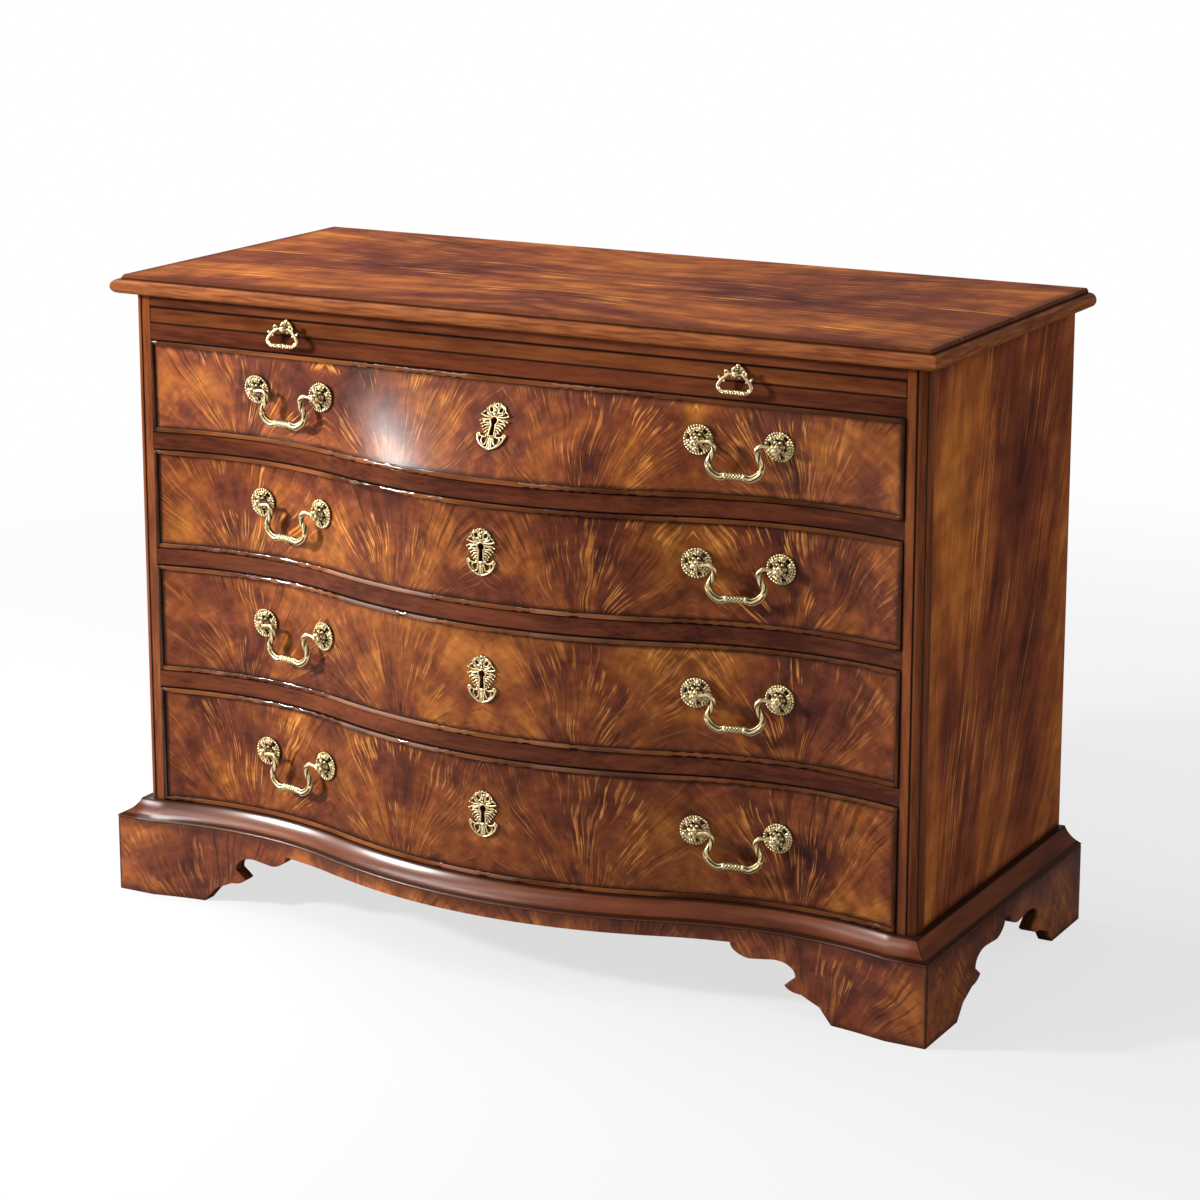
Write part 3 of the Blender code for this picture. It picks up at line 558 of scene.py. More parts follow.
def plinth_veneer():
    """Flame figure that rises from the middle of each foot and of the apron."""
    finish = Finish("plinth_flame_veneer", **GLOSSY)
    x, y, z = finish.place()
    reach = finish.absolute(x)
    leaf = 0.34
    across = finish.plus(finish.calc("PINGPONG", finish.plus(reach, y, 0.27), leaf), -leaf / 2)
    seed = finish.plus(finish.times(x, LEAF_DRIFT), 97.0)
    colour, grain = flame(finish, finish.plus(z, 0.02), across, seed, origin=0.06, mean=0.11, core=0.09,
                          bright=1.32, vivid=0.50)
    head = finish.smooth(z, PLINTH_TOP - 0.018, PLINTH_TOP, 0.0, 0.6)
    foot = finish.smooth(z, 0.0, 0.012, 0.7, 0.0)
    corner = finish.plus(y, finish.times(reach, -1.0), PLINTH_HALF - Y_PLINTH)
    arris = finish.smooth(corner, 0.001, 0.005, 0.85, 0.0)
    inner = finish.times(finish.smooth(reach, PLINTH_HALF - 0.005, PLINTH_HALF - 0.002, 0.85, 0.0),
                         finish.smooth(y, Y_PLINTH + 0.04, Y_PLINTH + 0.06, 0.0, 1.0))
    colour = finish.specked(finish.glaze_and_shade(colour, finish.most(head, foot, arris, inner)))
    return finish.done(colour, 0.32, grain, GRAIN_DEPTH, 0.25)


def plain_mahogany(name, stretch, dark, light, lines):
    """Straight-grained red-brown wood, with painted shade darkening it towards the right; stretch is short
    along the grain.

    Lines are dark glaze left along the wood, as (axis, place, half width).
    """
    finish = Finish(name, **WAXED)
    x, y, z = finish.place()
    places = (finish.absolute(x), y, z)
    bands, threads, pores = finish.grain(stretch, (12.0, 3.0), (70.0, 3.0), (240.0, 2.0))
    # Painted shade: the last term lowers the tone towards the right end
    tone = finish.plus(finish.times(bands, 0.45), finish.times(threads, 0.35), finish.times(pores, 0.20),
                       finish.smooth(x, 0.05, 0.58, 0.0, -0.055))
    colour = finish.specked(finish.ramp(tone, (0.40, dark), (0.60, light)))
    for axis, place, half in lines:
        colour = finish.lined(colour, places[axis], place, half)
    rough = finish.smooth(pores, 0.3, 0.7, 0.25, 0.38)
    return finish.done(colour, rough, pores, GRAIN_DEPTH, 0.3)


def bead_mahogany():
    """Bead that is polished where it faces up, with dark glaze left along both its feet and painted shade
    towards its right end.
    """
    finish = Finish("bead_mahogany", Coat_Roughness=0.14, Coat_IOR=2.0, Specular_IOR_Level=0.0)
    x = finish.place()[0]
    bands = finish.grain((0.15, 1.0, 1.0), (26.0, 4.0))[0]
    wood = finish.ramp(bands, (0.38, (0.070, 0.020, 0.008)), (0.64, (0.235, 0.077, 0.023)))
    end = OPEN - RUN - BEAD_WIDTH
    ends = finish.smooth(finish.absolute(x), end - 0.001, end, 0.0, 0.75)
    # Painted shade: the bead darkens towards the right end
    right = finish.smooth(x, 0.10, 0.50, 0.0, 0.45)
    colour = finish.mix(finish.most(finish.mark(TARNISH), ends, right), wood, (0.012, 0.005, 0.004))
    polish = finish.times(finish.mark(POLISH), finish.smooth(x, -0.10, 0.25, 0.95, 0.20))
    finish.put(polish, finish.shader.inputs["Coat Weight"])
    return finish.done(colour, 0.30, bands, 0.00002, 0.2)


def rail_mahogany(node, dark, light):
    """Rail wood with dark glaze left along its upper and lower edges."""
    low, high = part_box(node)
    return plain_mahogany(f"{node}_mahogany", ALONG_X, dark, light,
                          ((2, low.z, RAIL_LINE), (2, high.z, RAIL_LINE)))


def moulding_mahogany():
    """Red-brown cove, glossy along the front, with dark glaze at its foot, its top and its mitres."""
    finish = Finish("moulding_mahogany", Coat_Roughness=0.27, Specular_IOR_Level=0.0)
    x, y, z = finish.place()
    bands = finish.grain((0.3, 0.3, 2.5), (14.0, 4.0))[0]
    colour = finish.specked(finish.ramp(bands, (0.34, (0.066, 0.016, 0.008)), (0.66, (0.190, 0.051, 0.018))))
    reach = finish.absolute(x)
    mitre = finish.absolute(finish.plus(reach, y, -HALF - Y_FRONT))
    colour = finish.glaze_and_shade(colour, finish.smooth(mitre, 0.0007, 0.0020, 0.8, 0.0))
    for place in (PLINTH_TOP + BASE_LIP + 0.0006, BASE_TOP):
        colour = finish.lined(colour, z, place, CORNER_LINE)
    front = finish.most(finish.smooth(x, -0.15, 0.25, 1.0, 0.35), finish.smooth(x, 0.40, 0.50, 0.0, 1.0))
    gloss = finish.times(front, finish.smooth(reach, HALF - 0.010, HALF + 0.010, 1.0, 0.08))
    finish.put(gloss, finish.shader.inputs["Coat Weight"])
    return finish.done(colour, 0.30, bands, GRAIN_DEPTH, 0.3)


def back_wood():
    """Plain boards with upright grain, sunk in a frame, with painted shade on the steps down to them."""
    finish = Finish("back_board_wood", Specular_IOR_Level=0.3)
    x, y = finish.place()[:2]
    bands, pores = finish.grain((1.0, 1.0, 0.07), (26.0, 5.0), (260.0, 2.0))
    tone = finish.plus(finish.times(bands, 0.6), finish.times(pores, 0.4))
    colour = finish.ramp(tone, (0.34, (0.130, 0.052, 0.021)), (0.66, (0.310, 0.150, 0.064)))
    # Painted shade on the walls between the frame and the sunk boards; the dark lines between boards are
    # joints
    raised = finish.smooth(y, BACK_FACE - BACK_SINK, BACK_FACE)
    sunk = finish.minus(1.0, raised)
    sunk_edge_shade = finish.times(raised, sunk, 3.2)
    joint = finish.times(finish.smooth(finish.calc("PINGPONG", x, 0.056), 0.0005, 0.0014, 0.75, 0.0), sunk)
    return finish.done(finish.glaze_and_shade(colour, finish.most(sunk_edge_shade, joint)), 0.62, pores, 0.0001, 0.4)


def drawer_lining():
    """Pale quiet wood inside the chest."""
    finish = Finish("drawer_lining_wood", Specular_IOR_Level=0.3)
    bands, pores = finish.grain((1.0, 0.12, 1.0), (22.0, 5.0), (240.0, 2.0))
    tone = finish.plus(finish.times(bands, 0.65), finish.times(pores, 0.35))
    colour = finish.ramp(tone, (0.30, (0.21, 0.115, 0.052)), (0.70, (0.42, 0.27, 0.135)))
    return finish.done(colour, 0.62, pores, 0.0001, 0.4)


def antique_brass():
    """Pale brass, darkened in its hollows."""
    finish = Finish("antique_brass_patina", Metallic=1.0)
    cloud = finish.noise(finish.spot(), 260.0, 3.0, 0.6)
    shade = finish.add("AmbientOcclusion", {"Distance": 0.004}, samples=6).outputs["AO"]
    deep = finish.smooth(finish.plus(shade, finish.times(cloud, 0.25)), 0.42, 0.92, 1.0, 0.0)
    hollow = finish.most(deep, finish.mark(TARNISH))
    bright = finish.ramp(cloud, (0.35, (0.62, 0.46, 0.22)), (0.65, (0.86, 0.71, 0.41)))
    colour = finish.mix(hollow, bright, (0.060, 0.037, 0.014))
    rough = finish.smooth(hollow, 0.0, 1.0, 0.34, 0.55)
    return finish.done(colour, rough, cloud, 0.0001, 0.2)


SLIDE_WOOD = plain_mahogany("slide_mahogany", ALONG_X, (0.070, 0.018, 0.007), (0.190, 0.056, 0.017),
                            ((2, SLIDE_LOW.z, RAIL_LINE), (2, SLIDE_HIGH.z, RAIL_LINE)))
STILE_WOOD = plain_mahogany("stile_mahogany", ALONG_Z, (0.105, 0.027, 0.010), (0.275, 0.081, 0.024),
                            ((0, HALF - CORNER_BEAD - QUIRK / 2, CORNER_LINE),
                             (1, Y_FRONT + CORNER_BEAD + QUIRK / 2, CORNER_LINE)))
# Darkest and lightest tone of the top rail and of the others
TOP_RAIL_TONES = (0.062, 0.016, 0.008), (0.185, 0.053, 0.019)
RAIL_TONES = (0.046, 0.011, 0.006), (0.148, 0.039, 0.015)
MOULDING_WOOD = moulding_mahogany()
BEAD_WOOD = bead_mahogany()
LINING = drawer_lining()
BRASS = antique_brass()


# Woodwork

def outline_round(out, back, height):
    """Plan of the case grown by a distance, with small rounds at its front corners."""
    points = [(-HALF - out, back, height)]
    for side in (-1, 1):
        for step in range(5):
            turn = math.pi / 2 * step / 4
            part = (math.sin(turn), math.cos(turn)) if side > 0 else (math.cos(turn), math.sin(turn))
            points.append((side * (HALF + out - CORNER_ROUND + CORNER_ROUND * part[0]),
                           Y_FRONT - out + CORNER_ROUND - CORNER_ROUND * part[1], height))
    return points + [(HALF + out, back, height)]


def top_board():
    """Top with a stepped and rounded edge on the front and both ends."""
    nose = TOP_OVERHANG - TOP_NOSE
    base = TOP_LOW.z
    profile = [(nose + TOP_NOSE * math.sin(math.pi * step / 18),
                TOP_NOSE * (1 - math.cos(math.pi * step / 18))) for step in range(19)]
    ledge = nose - TOP_STEP
    height = 2 * TOP_NOSE
    profile += [(ledge, height), (ledge, height + TOP_STEP), (TOP_ARRIS, TOP_HIGH.z - base)]
    return ease(tiers([outline_round(out, TOP_HIGH.y, base + z) for out, z in profile]), TOP_EASE, 32)


def corner_stile(side):
    """Front corner post with its bead between two sunk lines."""
    bead_x = HALF - CORNER_BEAD
    bead_y = Y_FRONT + CORNER_BEAD
    plan = [(OPEN, Y_FRONT), (bead_x - QUIRK, Y_FRONT), (bead_x - QUIRK, Y_FRONT + QUIRK),
            (bead_x, Y_FRONT + QUIRK), (bead_x, Y_FRONT)]
    for step in range(1, 13):
        turn = math.pi / 2 * step / 12
        plan.append((bead_x + CORNER_BEAD * math.sin(turn), bead_y - CORNER_BEAD * math.cos(turn)))
    plan += [(HALF - QUIRK, bead_y), (HALF - QUIRK, bead_y + QUIRK), (HALF, bead_y + QUIRK),
             (HALF, Y_FRONT + STILE_DEPTH), (OPEN, Y_FRONT + STILE_DEPTH)]
    return tiers([[(side * x, y, z) for x, y in plan] for z in (STILE_LOW.z, STILE_HIGH.z)])


def stations(half, steps):
    """Even places from the left to the right."""
    return [half * (2 * step / steps - 1) for step in range(steps + 1)]


def arc(start, end, sag, steps=9):
    """Points of an arc after its start; sag is its rise to the left, as a share of the chord."""
    start, end = Vector(start), Vector(end)
    if not sag:
        return [end]
    chord = end - start
    left = Vector((-chord.y, chord.x))
    half_angle = 2 * math.atan(2 * sag)
    centre = (start + end) / 2 - left / (2 * math.tan(half_angle))
    turn = -2 * half_angle / steps
    return [centre + Matrix.Rotation(turn * step, 2) @ (start - centre) for step in range(1, steps + 1)]


def base_moulding():
    """Bottom board whose front and ends carry the shallow cove over the plinth."""
    height = BASE_TOP - PLINTH_TOP
    lip = PLINTH_PROJECTION - BASE_LIP_PROUD
    profile = []
    for step in range(7):
        turn = math.pi * (step / 6 - 0.5)
        profile.append((lip + BASE_LIP_PROUD * math.cos(turn),
                        BASE_LIP / 2 + (BASE_LIP / 2 - FIT) * math.sin(turn)))
    head = (BASE_FILLET_PROUD, height - BASE_FILLET)
    profile += [(lip, BASE_LIP), *arc((lip, BASE_LIP), head, BASE_COVE_SAG, 14),
                (BASE_FILLET_PROUD, height)]
    outlines = []
    for out, z in profile:
        level = PLINTH_TOP + z
        corner = HALF + out
        front = [(x, Y_FRONT - out - serpentine(x), level) for x in stations(OPEN, BASE_STEPS)]
        outlines.append([(-corner, Y_BACK, level), (-corner, Y_FRONT - out, level), *front,
                         (corner, Y_FRONT - out, level), (corner, Y_BACK, level)])
    return tiers(outlines)


def board_outline(low, high, foot, run):
    """Front of a plinth board with an arch between two bracket feet, as (place, z)."""
    edge = [Vector((0, 0))]
    for place_to, sag in BRACKET_EDGE:
        edge += arc(edge[-1], place_to, sag)
    level = PLINTH_TOP - APRON
    edge = [(foot + run * point.x, level * point.y) for point in edge]
    near = [(low + away, z) for away, z in edge]
    far = [(high - away, z) for away, z in reversed(edge)]
    return [(low, 0.0), *near, *far, (high, 0.0), (high, PLINTH_TOP), (low, PLINTH_TOP)]


def plinth_front():
    """Serpentine board with mitred ends and an arch between its feet."""
    inner = PLINTH_HALF - PLINTH_THICKNESS
    shape = bmesh.new()
    outline = board_outline(-PLINTH_HALF, PLINTH_HALF, FRONT_FOOT, FRONT_BRACKET)
    shape.faces.new([shape.verts.new((x, 0, z)) for x, z in outline])
    for x in stations(OPEN, PLINTH_STEPS):
        bmesh.ops.bisect_plane(shape, geom=shape.verts[:] + shape.edges[:] + shape.faces[:],
                               plane_co=(x, 0, 0), plane_no=(1, 0, 0), dist=MERGE)
    for vert in grown_verts(shape, shape.faces[:]):
        vert.co.y = PLINTH_THICKNESS
        vert.co.x = max(-inner, min(inner, vert.co.x))
    for vert in shape.verts:
        vert.co.y += Y_PLINTH - serpentine(vert.co.x)
    return shape


def plinth_side(side):
    """Side board with a mitred front end, an arch, and a return along the back."""
    inner = PLINTH_HALF - PLINTH_THICKNESS
    run = (Y_BACK - Y_PLINTH - SIDE_APRON_LENGTH) / 2 - SIDE_FOOT
    shape = bmesh.new()
    outline = board_outline(Y_PLINTH + FIT, Y_BACK, SIDE_FOOT, run)
    shape.faces.new([shape.verts.new((side * PLINTH_HALF, y, z)) for y, z in outline])
    for vert in grown_verts(shape, shape.faces[:]):
        vert.co.x = side * inner
        vert.co.y = max(Y_PLINTH + FIT + PLINTH_THICKNESS, vert.co.y)
    span = REAR_RETURN - PLINTH_THICKNESS
    middle = (side * (inner - span / 2), Y_BACK - PLINTH_THICKNESS / 2, PLINTH_TOP / 2)
    bmesh.ops.create_cube(shape, size=1.0, matrix=Matrix.Translation(middle)
                          @ Matrix.Diagonal((span - FIT, PLINTH_THICKNESS, PLINTH_TOP, 1.0)))
    return shape


def flat_front(number, x_steps, z_steps):
    """Grid over a drawer front, standing upright in the plane y = 0."""
    low, high = OPENINGS[number]
    shape = bmesh.new()
    on_end = (Matrix.Translation((0, 0, (low + high) / 2)) @ Matrix.Rotation(math.pi / 2, 4, "X")
              @ Matrix.Diagonal((OPEN - RUN, (high - low) / 2, 1.0, 1.0)))
    bmesh.ops.create_grid(shape, x_segments=x_steps, y_segments=z_steps, size=1.0, matrix=on_end)
    return shape


def bend(number, shape):
    """Lay a flat shape on a drawer's face."""
    for vert in shape.verts:
        vert.co.y += face_y(number, vert.co.x, vert.co.z)


def keyhole_outline(radius, length):
    """Round head over a flared slot, about its middle."""
    narrow, foot = radius * 0.58, radius * 0.85
    lift = length / 2 - radius
    outline = [(-foot, radius - length + lift), (foot, radius - length + lift)]
    start = -math.acos(narrow / radius)
    for step in range(17):
        turn = start + (math.pi - 2 * start) * step / 16
        outline.append((radius * math.cos(turn), radius * math.sin(turn) + lift))
    return outline


KEYHOLE = keyhole_outline(KEYHOLE_HEAD, KEYHOLE_LENGTH)


def keyhole_place(number, lift=0.0):
    """Frame on a drawer's face at its keyhole, lifted off the wood."""
    low, high = OPENINGS[number]
    height = (low + high) / 2 + KEYHOLE_RISE
    normal = face_normal(number, 0, height)
    face = Vector((0, face_y(number, 0, height), height))
    return standing(face + normal * lift, normal, (1, 0, 0))


def keyhole(number):
    """Cutter for the keyhole of a drawer."""
    shape = tiers([[(x, y, z) for x, y in KEYHOLE] for z in (-KEYHOLE_DEPTH, KEYHOLE_PAST)])
    bmesh.ops.transform(shape, matrix=keyhole_place(number), verts=shape.verts)
    return shape


def drawer_panel(number):
    """Veneered front of a drawer with its keyhole."""
    shape = flat_front(number, FRONT_STEPS, FRONT_ROWS[number])
    for vert in grown_verts(shape, shape.faces[:]):
        vert.co.y = FRONT_THICKNESS
    bend(number, shape)
    return carved(shape, keyhole(number))


def cock_bead(number):
    """Rounded bead that stands proud all round a drawer front."""
    shape = flat_front(number, 1, 1)
    field = shape.faces[:]
    bmesh.ops.inset_region(shape, faces=field, thickness=BEAD_WIDTH, use_even_offset=True,
                           use_boundary=True)
    bmesh.ops.delete(shape, geom=field, context="FACES")
    level = [edge for edge in shape.edges
             if abs(edge.verts[0].co.z - edge.verts[1].co.z) < BEAD_WIDTH / 2]
    bmesh.ops.subdivide_edges(shape, edges=level, cuts=FRONT_STEPS, use_grid_fill=True)
    top = set(grown_verts(shape, shape.faces[:]))
    for vert in top:
        vert.co.y = -BEAD_HEIGHT
    ease(shape, BEAD_WIDTH * BEAD_ROUND, 60, 5, lambda edge: top.issuperset(edge.verts))
    shape.normal_update()
    glaze = shape.verts.layers.float.new(TARNISH)
    polish = shape.verts.layers.float.new(POLISH)
    for vert in shape.verts:
        vert[glaze] = step_between(vert.co.y, -0.95 * BEAD_HEIGHT, -0.68 * BEAD_HEIGHT)
        vert[polish] = step_between(vert.normal.z, 0.02, 0.35) * (1.0 - 0.7 * vert[glaze])
    bend(number, shape)
    return shape


def woodwork():
    """Carcass, slide and drawers."""
    piece("top", top_board(), top_veneer(), "case", ["top_board"])
    side_finish = side_veneer()
    plinth_finish = plinth_veneer()
    for side, word in SIDES:
        piece(f"{word}_side", packed(f"{word}_side_panel", SIDE_EASE), side_finish, "case",
              [f"{word}_side_panel"])
        piece(f"{word}_stile", corner_stile(side), STILE_WOOD, "case",
              [f"{word}_corner_stile"])
        piece(f"{word}_plinth", ease(plinth_side(side), BOARD_EASE), plinth_finish, "case",
              [f"plinth_{word}"])
    piece("front_plinth", ease(plinth_front(), BOARD_EASE), plinth_finish, "case",
          ["plinth_front"])
    piece("base_moulding", base_moulding(), MOULDING_WOOD, "case", ["base_frame"])
    piece("framed_back", packed("back_panel", WORN_EASE), back_wood(), "case",
          ["back_panel"])
    for node in ("top_rail", "slide_divider", "drawer_divider_1", "drawer_divider_2", "drawer_divider_3"):
        tones = TOP_RAIL_TONES if node == "top_rail" else RAIL_TONES
        piece(f"{node}_wood", packed(node, BOARD_EASE), rail_mahogany(node, *tones), "case",
              [node])
    piece("slide_board", packed("brushing_slide", WORN_EASE), SLIDE_WOOD, "slide",
          ["brushing_slide"])
    for number in DRAWERS:
        name = f"drawer_{number + 1}"
        piece(f"{name}_panel", drawer_panel(number), drawer_veneer(number), name,
              [f"{name}_front"])
        piece(f"{name}_cock_bead", cock_bead(number), BEAD_WOOD, name)
        for part in ("box", "bottom"):
            piece(f"{name}_{part}_wood", packed(f"{name}_{part}", BOARD_EASE), LINING, name,
                  [f"{name}_{part}"])


woodwork()


# Brass

PIN_HEIGHT = 0.0132                         # of a bail's pivots above a rosette's foot
KNOB_RADIUS = 0.0068
PIN_INSIDE = 0.0045                         # length of a bail's end within its knob
BAIL_DROP = 0.041
HANDLE_RISE = 0.0105                        # above the middle of a front
HANDLE_FROM_MIDDLE = 0.3305
HANDLE_CENTRES = 0.1066
PULL_HEIGHT = 0.811                         # above the floor
PULL_PIN_HEIGHT = 0.0095
PULL_BOW = 4.0                              # reach of a drop's foot to the front, in millimetres
# Radius along half of a bail and of a slide pull, from the middle, in millimetres
BAIL_RADII = ((0, 4.8), (11.5, 4.8), (12.3, 5.1), (14, 4.8), (20, 5.0), (34, 4.5), (40, 4.2), (55, 3.7),
              (66, 3.4), (74, 2.8), (80, 2.0), (200, 2.0))
PULL_RADII = ((0, 2.7), (14, 2.5), (20, 2.2), (28, 2.5), (36, 2.5), (44, 2.0), (48, 1.3), (100, 1.2))
STRAND_SIDES = 8
BRASS_SMOOTH = 60                           # edges that turn by less, in degrees, are smooth
# Half a keyhole plate, in millimetres: strands as points, radius and height, pips as x, y and radius
PLATE_STRANDS = (
    (((5.0, 9.5), (9.5, 8.5), (15.5, 5.5)), 1.5, 1.5),
    (((4.0, 12.0), (9.0, 12.0), (14.0, 12.4), (19.0, 14.2)), 1.3, 1.4),
    (((5.5, 7.0), (11.0, 8.6), (16.5, 8.2), (19.6, 6.6)), 1.1, 1.2),
    (((4.5, 3.5), (9.5, 4.0), (14.0, 3.8), (17.2, 2.2)), 1.2, 1.3),
    (((4.2, 1.0), (8.5, 1.4), (12.0, 0.4), (14.6, -1.6)), 1.2, 1.3),
    (((4.2, -2.0), (7.4, -1.8), (10.2, -3.2), (12.0, -5.0)), 1.2, 1.3),
    (((4.4, -5.0), (6.8, -5.2), (8.8, -6.8), (10.0, -9.0)), 1.2, 1.3),
    (((5.0, -8.2), (6.6, -9.0), (7.6, -10.6)), 1.1, 1.2),
    (((1.0, 14.0), (3.2, 17.5), (3.0, 21.5), (1.2, 25.0)), 1.3, 1.4),
    (((3.0, 25.0), (5.5, 28.2), (4.4, 30.2)), 1.1, 1.2),
    (((5.0, 28.0), (9.0, 27.0), (12.4, 23.6), (13.8, 19.4)), 1.2, 1.3),
    (((13.8, 19.4), (16.6, 18.2), (18.6, 16.0)), 1.1, 1.2),
    (((3.4, 13.6), (7.6, 14.6), (11.4, 16.2), (13.0, 18.8)), 1.2, 1.3),
    (((17.4, -11.0), (18.6, -15.4), (17.4, -19.4), (13.8, -23.6), (8.6, -27.4), (0.0, -30.4)), 1.5, 1.6),
    (((4.6, -12.6), (8.6, -14.4), (12.6, -14.2), (16.4, -12.4)), 1.2, 1.3),
    (((4.0, -14.0), (4.6, -19.0), (6.4, -23.4), (9.4, -26.0)), 1.2, 1.4),
    (((12.0, -15.0), (13.4, -18.6), (11.4, -22.6), (8.0, -25.2)), 1.0, 1.2),
    (((1.6, -13.4), (2.0, -20.0), (3.0, -28.4)), 1.2, 1.6))
PLATE_PIPS = (
    (19.2, 14.4, 1.7), (19.8, 6.5, 1.6), (17.4, 2.0, 1.4), (14.8, -1.8, 1.4),
    (12.2, -5.2, 1.4), (10.2, -9.2, 1.4), (4.4, 30.0, 1.3), (9.4, 27.2, 1.5),
    (13.4, 22.4, 1.4), (16.6, 18.0, 1.3), (6.6, -11.6, 1.7), (9.8, 17.6, 1.4),
    (4.2, -17.0, 1.5), (15.8, -21.6, 1.3), (11.4, -25.4, 1.3), (5.6, -29.0, 1.3))


def smooth_line(points, steps):
    """Points of a smooth line through points of any number of parts."""
    ends = [points[0], *points, points[-1]]
    line = []
    for before, start, end, after in zip(ends, ends[1:], ends[2:], ends[3:]):
        for step in range(steps):
            share = step / steps
            line.append(tuple(
                b + share * ((c - a) / 2 + share * (a - 2.5 * b + 2 * c - d / 2
                                                    + share * (1.5 * (b - c) + (d - a) / 2)))
                for a, b, c, d in zip(before, start, end, after)))
    return line + [tuple(points[-1])]


def even_line(points, stride):
    """The same line with its points a stride apart, and how far along it each one lies."""
    walked = [0.0]
    for start, end in zip(points, points[1:]):
        walked.append(walked[-1] + (Vector(end[:2]) - Vector(start[:2])).length)
    count = max(2, round(walked[-1] / stride))
    line, leg = [], 0
    for step in range(count + 1):
        goal = walked[-1] * step / count
        while leg < len(points) - 2 and walked[leg + 1] < goal:
            leg += 1
        share = (goal - walked[leg]) / max(1e-9, walked[leg + 1] - walked[leg])
        line.append((goal, *(a + share * (b - a) for a, b in zip(points[leg], points[leg + 1]))))
    return line


def bar(shape, line, sides, lift, carving=None):
    """Add a bar along (x, y, z, radius) points that run in a level plane.

    Carving gives the share of the radius and the tarnish, by the point's number and the turn about
    the line.
    """
    rings, marks = [], []
    for number, (x, y, z, radius) in enumerate(line):
        before, after = line[max(0, number - 1)], line[min(len(line) - 1, number + 1)]
        onward = Vector((after[0] - before[0], after[1] - before[1], 0)).normalized()
        side = onward.cross(Vector((0, 0, 1)))
        turns = [math.tau * step / sides for step in range(sides)]
        cuts = [carving(number, turn) if carving else (1.0, 0.0) for turn in turns]
        rings.append([Vector((x, y, z)) + side * (radius * share * math.cos(turn))
                      + Vector((0, 0, radius * share * lift * math.sin(turn)))
                      for turn, (share, mark) in zip(turns, cuts)])
        marks.append([mark for share, mark in cuts])
    joined(shape, tiers(rings, marks))


def strand(shape, points, radius, height, taper, steps=5):
    """Add a cast strand through (x, y) points, thinner towards its rounded ends."""
    line = smooth_line([tuple(point) for point in points], steps)
    last = len(line) - 1
    path = []
    for number, (x, y) in enumerate(line):
        share = number / last
        path.append((x, y, height, radius * (taper + (1 - taper) * math.sin(math.pi * share) ** 0.5)))
    first, final = Vector(line[0]), Vector(line[-1])
    out_first = (first - Vector(line[1])).normalized() * radius * taper * 0.8
    out_final = (final - Vector(line[-2])).normalized() * radius * taper * 0.8
    tip = radius * taper * 0.45
    path.insert(0, (*(first + out_first), height, tip))
    path.append((*(final + out_final), height, tip))
    bar(shape, path, STRAND_SIDES, 0.9)


def ball(shape, x, y, z, radius, stretch=(1.0, 1.0, 1.0)):
    """Add a ball, stretched along the axes."""
    bmesh.ops.create_icosphere(shape, subdivisions=2, radius=radius,
                               matrix=Matrix.Translation((x, y, z)) @ Matrix.Diagonal((*stretch, 1.0)))


def loop(shape, x, y, height, wide, tall, radius, tilt=0.0):
    """Add a closed oval ring of round wire, lying level."""
    ring = bmesh.new()
    bmesh.ops.create_circle(ring, cap_ends=False, radius=radius, segments=STRAND_SIDES,
                            matrix=Matrix.Translation((wide, 0, 0)) @ Matrix.Rotation(math.pi / 2, 4, "X"))
    bmesh.ops.spin(ring, geom=ring.verts[:] + ring.edges[:], cent=(0, 0, 0), axis=(0, 0, 1),
                   angle=math.tau, steps=16, use_merge=True)
    bmesh.ops.scale(ring, vec=(1, tall / wide, 1), verts=ring.verts)
    bmesh.ops.transform(ring, matrix=Matrix.Translation((x, y, height)) @ Matrix.Rotation(tilt, 4, "Z"),
                        verts=ring.verts)
    joined(shape, ring)


def joined(shape, other):
    """Add another bmesh to a shape."""
    mesh = meshed("part", other)
    shape.from_mesh(mesh)
    bpy.data.meshes.remove(mesh)


def lathe(shape, profile, steps, relief=None):
    """Add (radius, height) points turned about Z; relief scales the radius by turn."""
    turned = blank()
    layer = turned.verts.layers.float[TARNISH]
    verts = [turned.verts.new((radius, 0, height)) for radius, height in profile]
    edges = [turned.edges.new(pair) for pair in zip(verts, verts[1:])]
    bmesh.ops.spin(turned, geom=verts + edges, cent=(0, 0, 0), axis=(0, 0, 1),
                   angle=math.tau, steps=steps, use_merge=True)
    bmesh.ops.remove_doubles(turned, verts=turned.verts, dist=MERGE)
    if relief:
        for vert in turned.verts:
            scale = relief(math.atan2(vert.co.y, vert.co.x))
            vert.co.x *= scale
            vert.co.y *= scale
            vert[layer] = step_between(scale, 0.99, 0.91)
    bmesh.ops.recalc_face_normals(turned, faces=turned.faces)
    joined(shape, turned)


def polar(reach, turn):
    """X and Y of a point at this distance and angle."""
    return reach * math.cos(turn), reach * math.sin(turn)


def between(table, place):
    """Value at a place, on straight lines between (place, value) pairs."""
    for (low, first), (high, second) in zip(table, table[1:]):
        if place <= high:
            return first + (second - first) * (place - low) / (high - low)
    return table[-1][1]


def two_sided(half):
    """Line from the left end to the right one, from its right half."""
    return [(-x, y) for x, y in reversed(half[1:])] + half


def swept(knots, radii, stride):
    """Points of a bar, given by its right half, and how far each lies from the middle."""
    line = even_line(smooth_line(two_sided(knots), 8), stride)
    middle = line[-1][0] / 2
    away = [abs(walked - middle) for walked, x, y in line]
    return [(x, y, 0.0, between(radii, far)) for far, (walked, x, y) in zip(away, line)], away


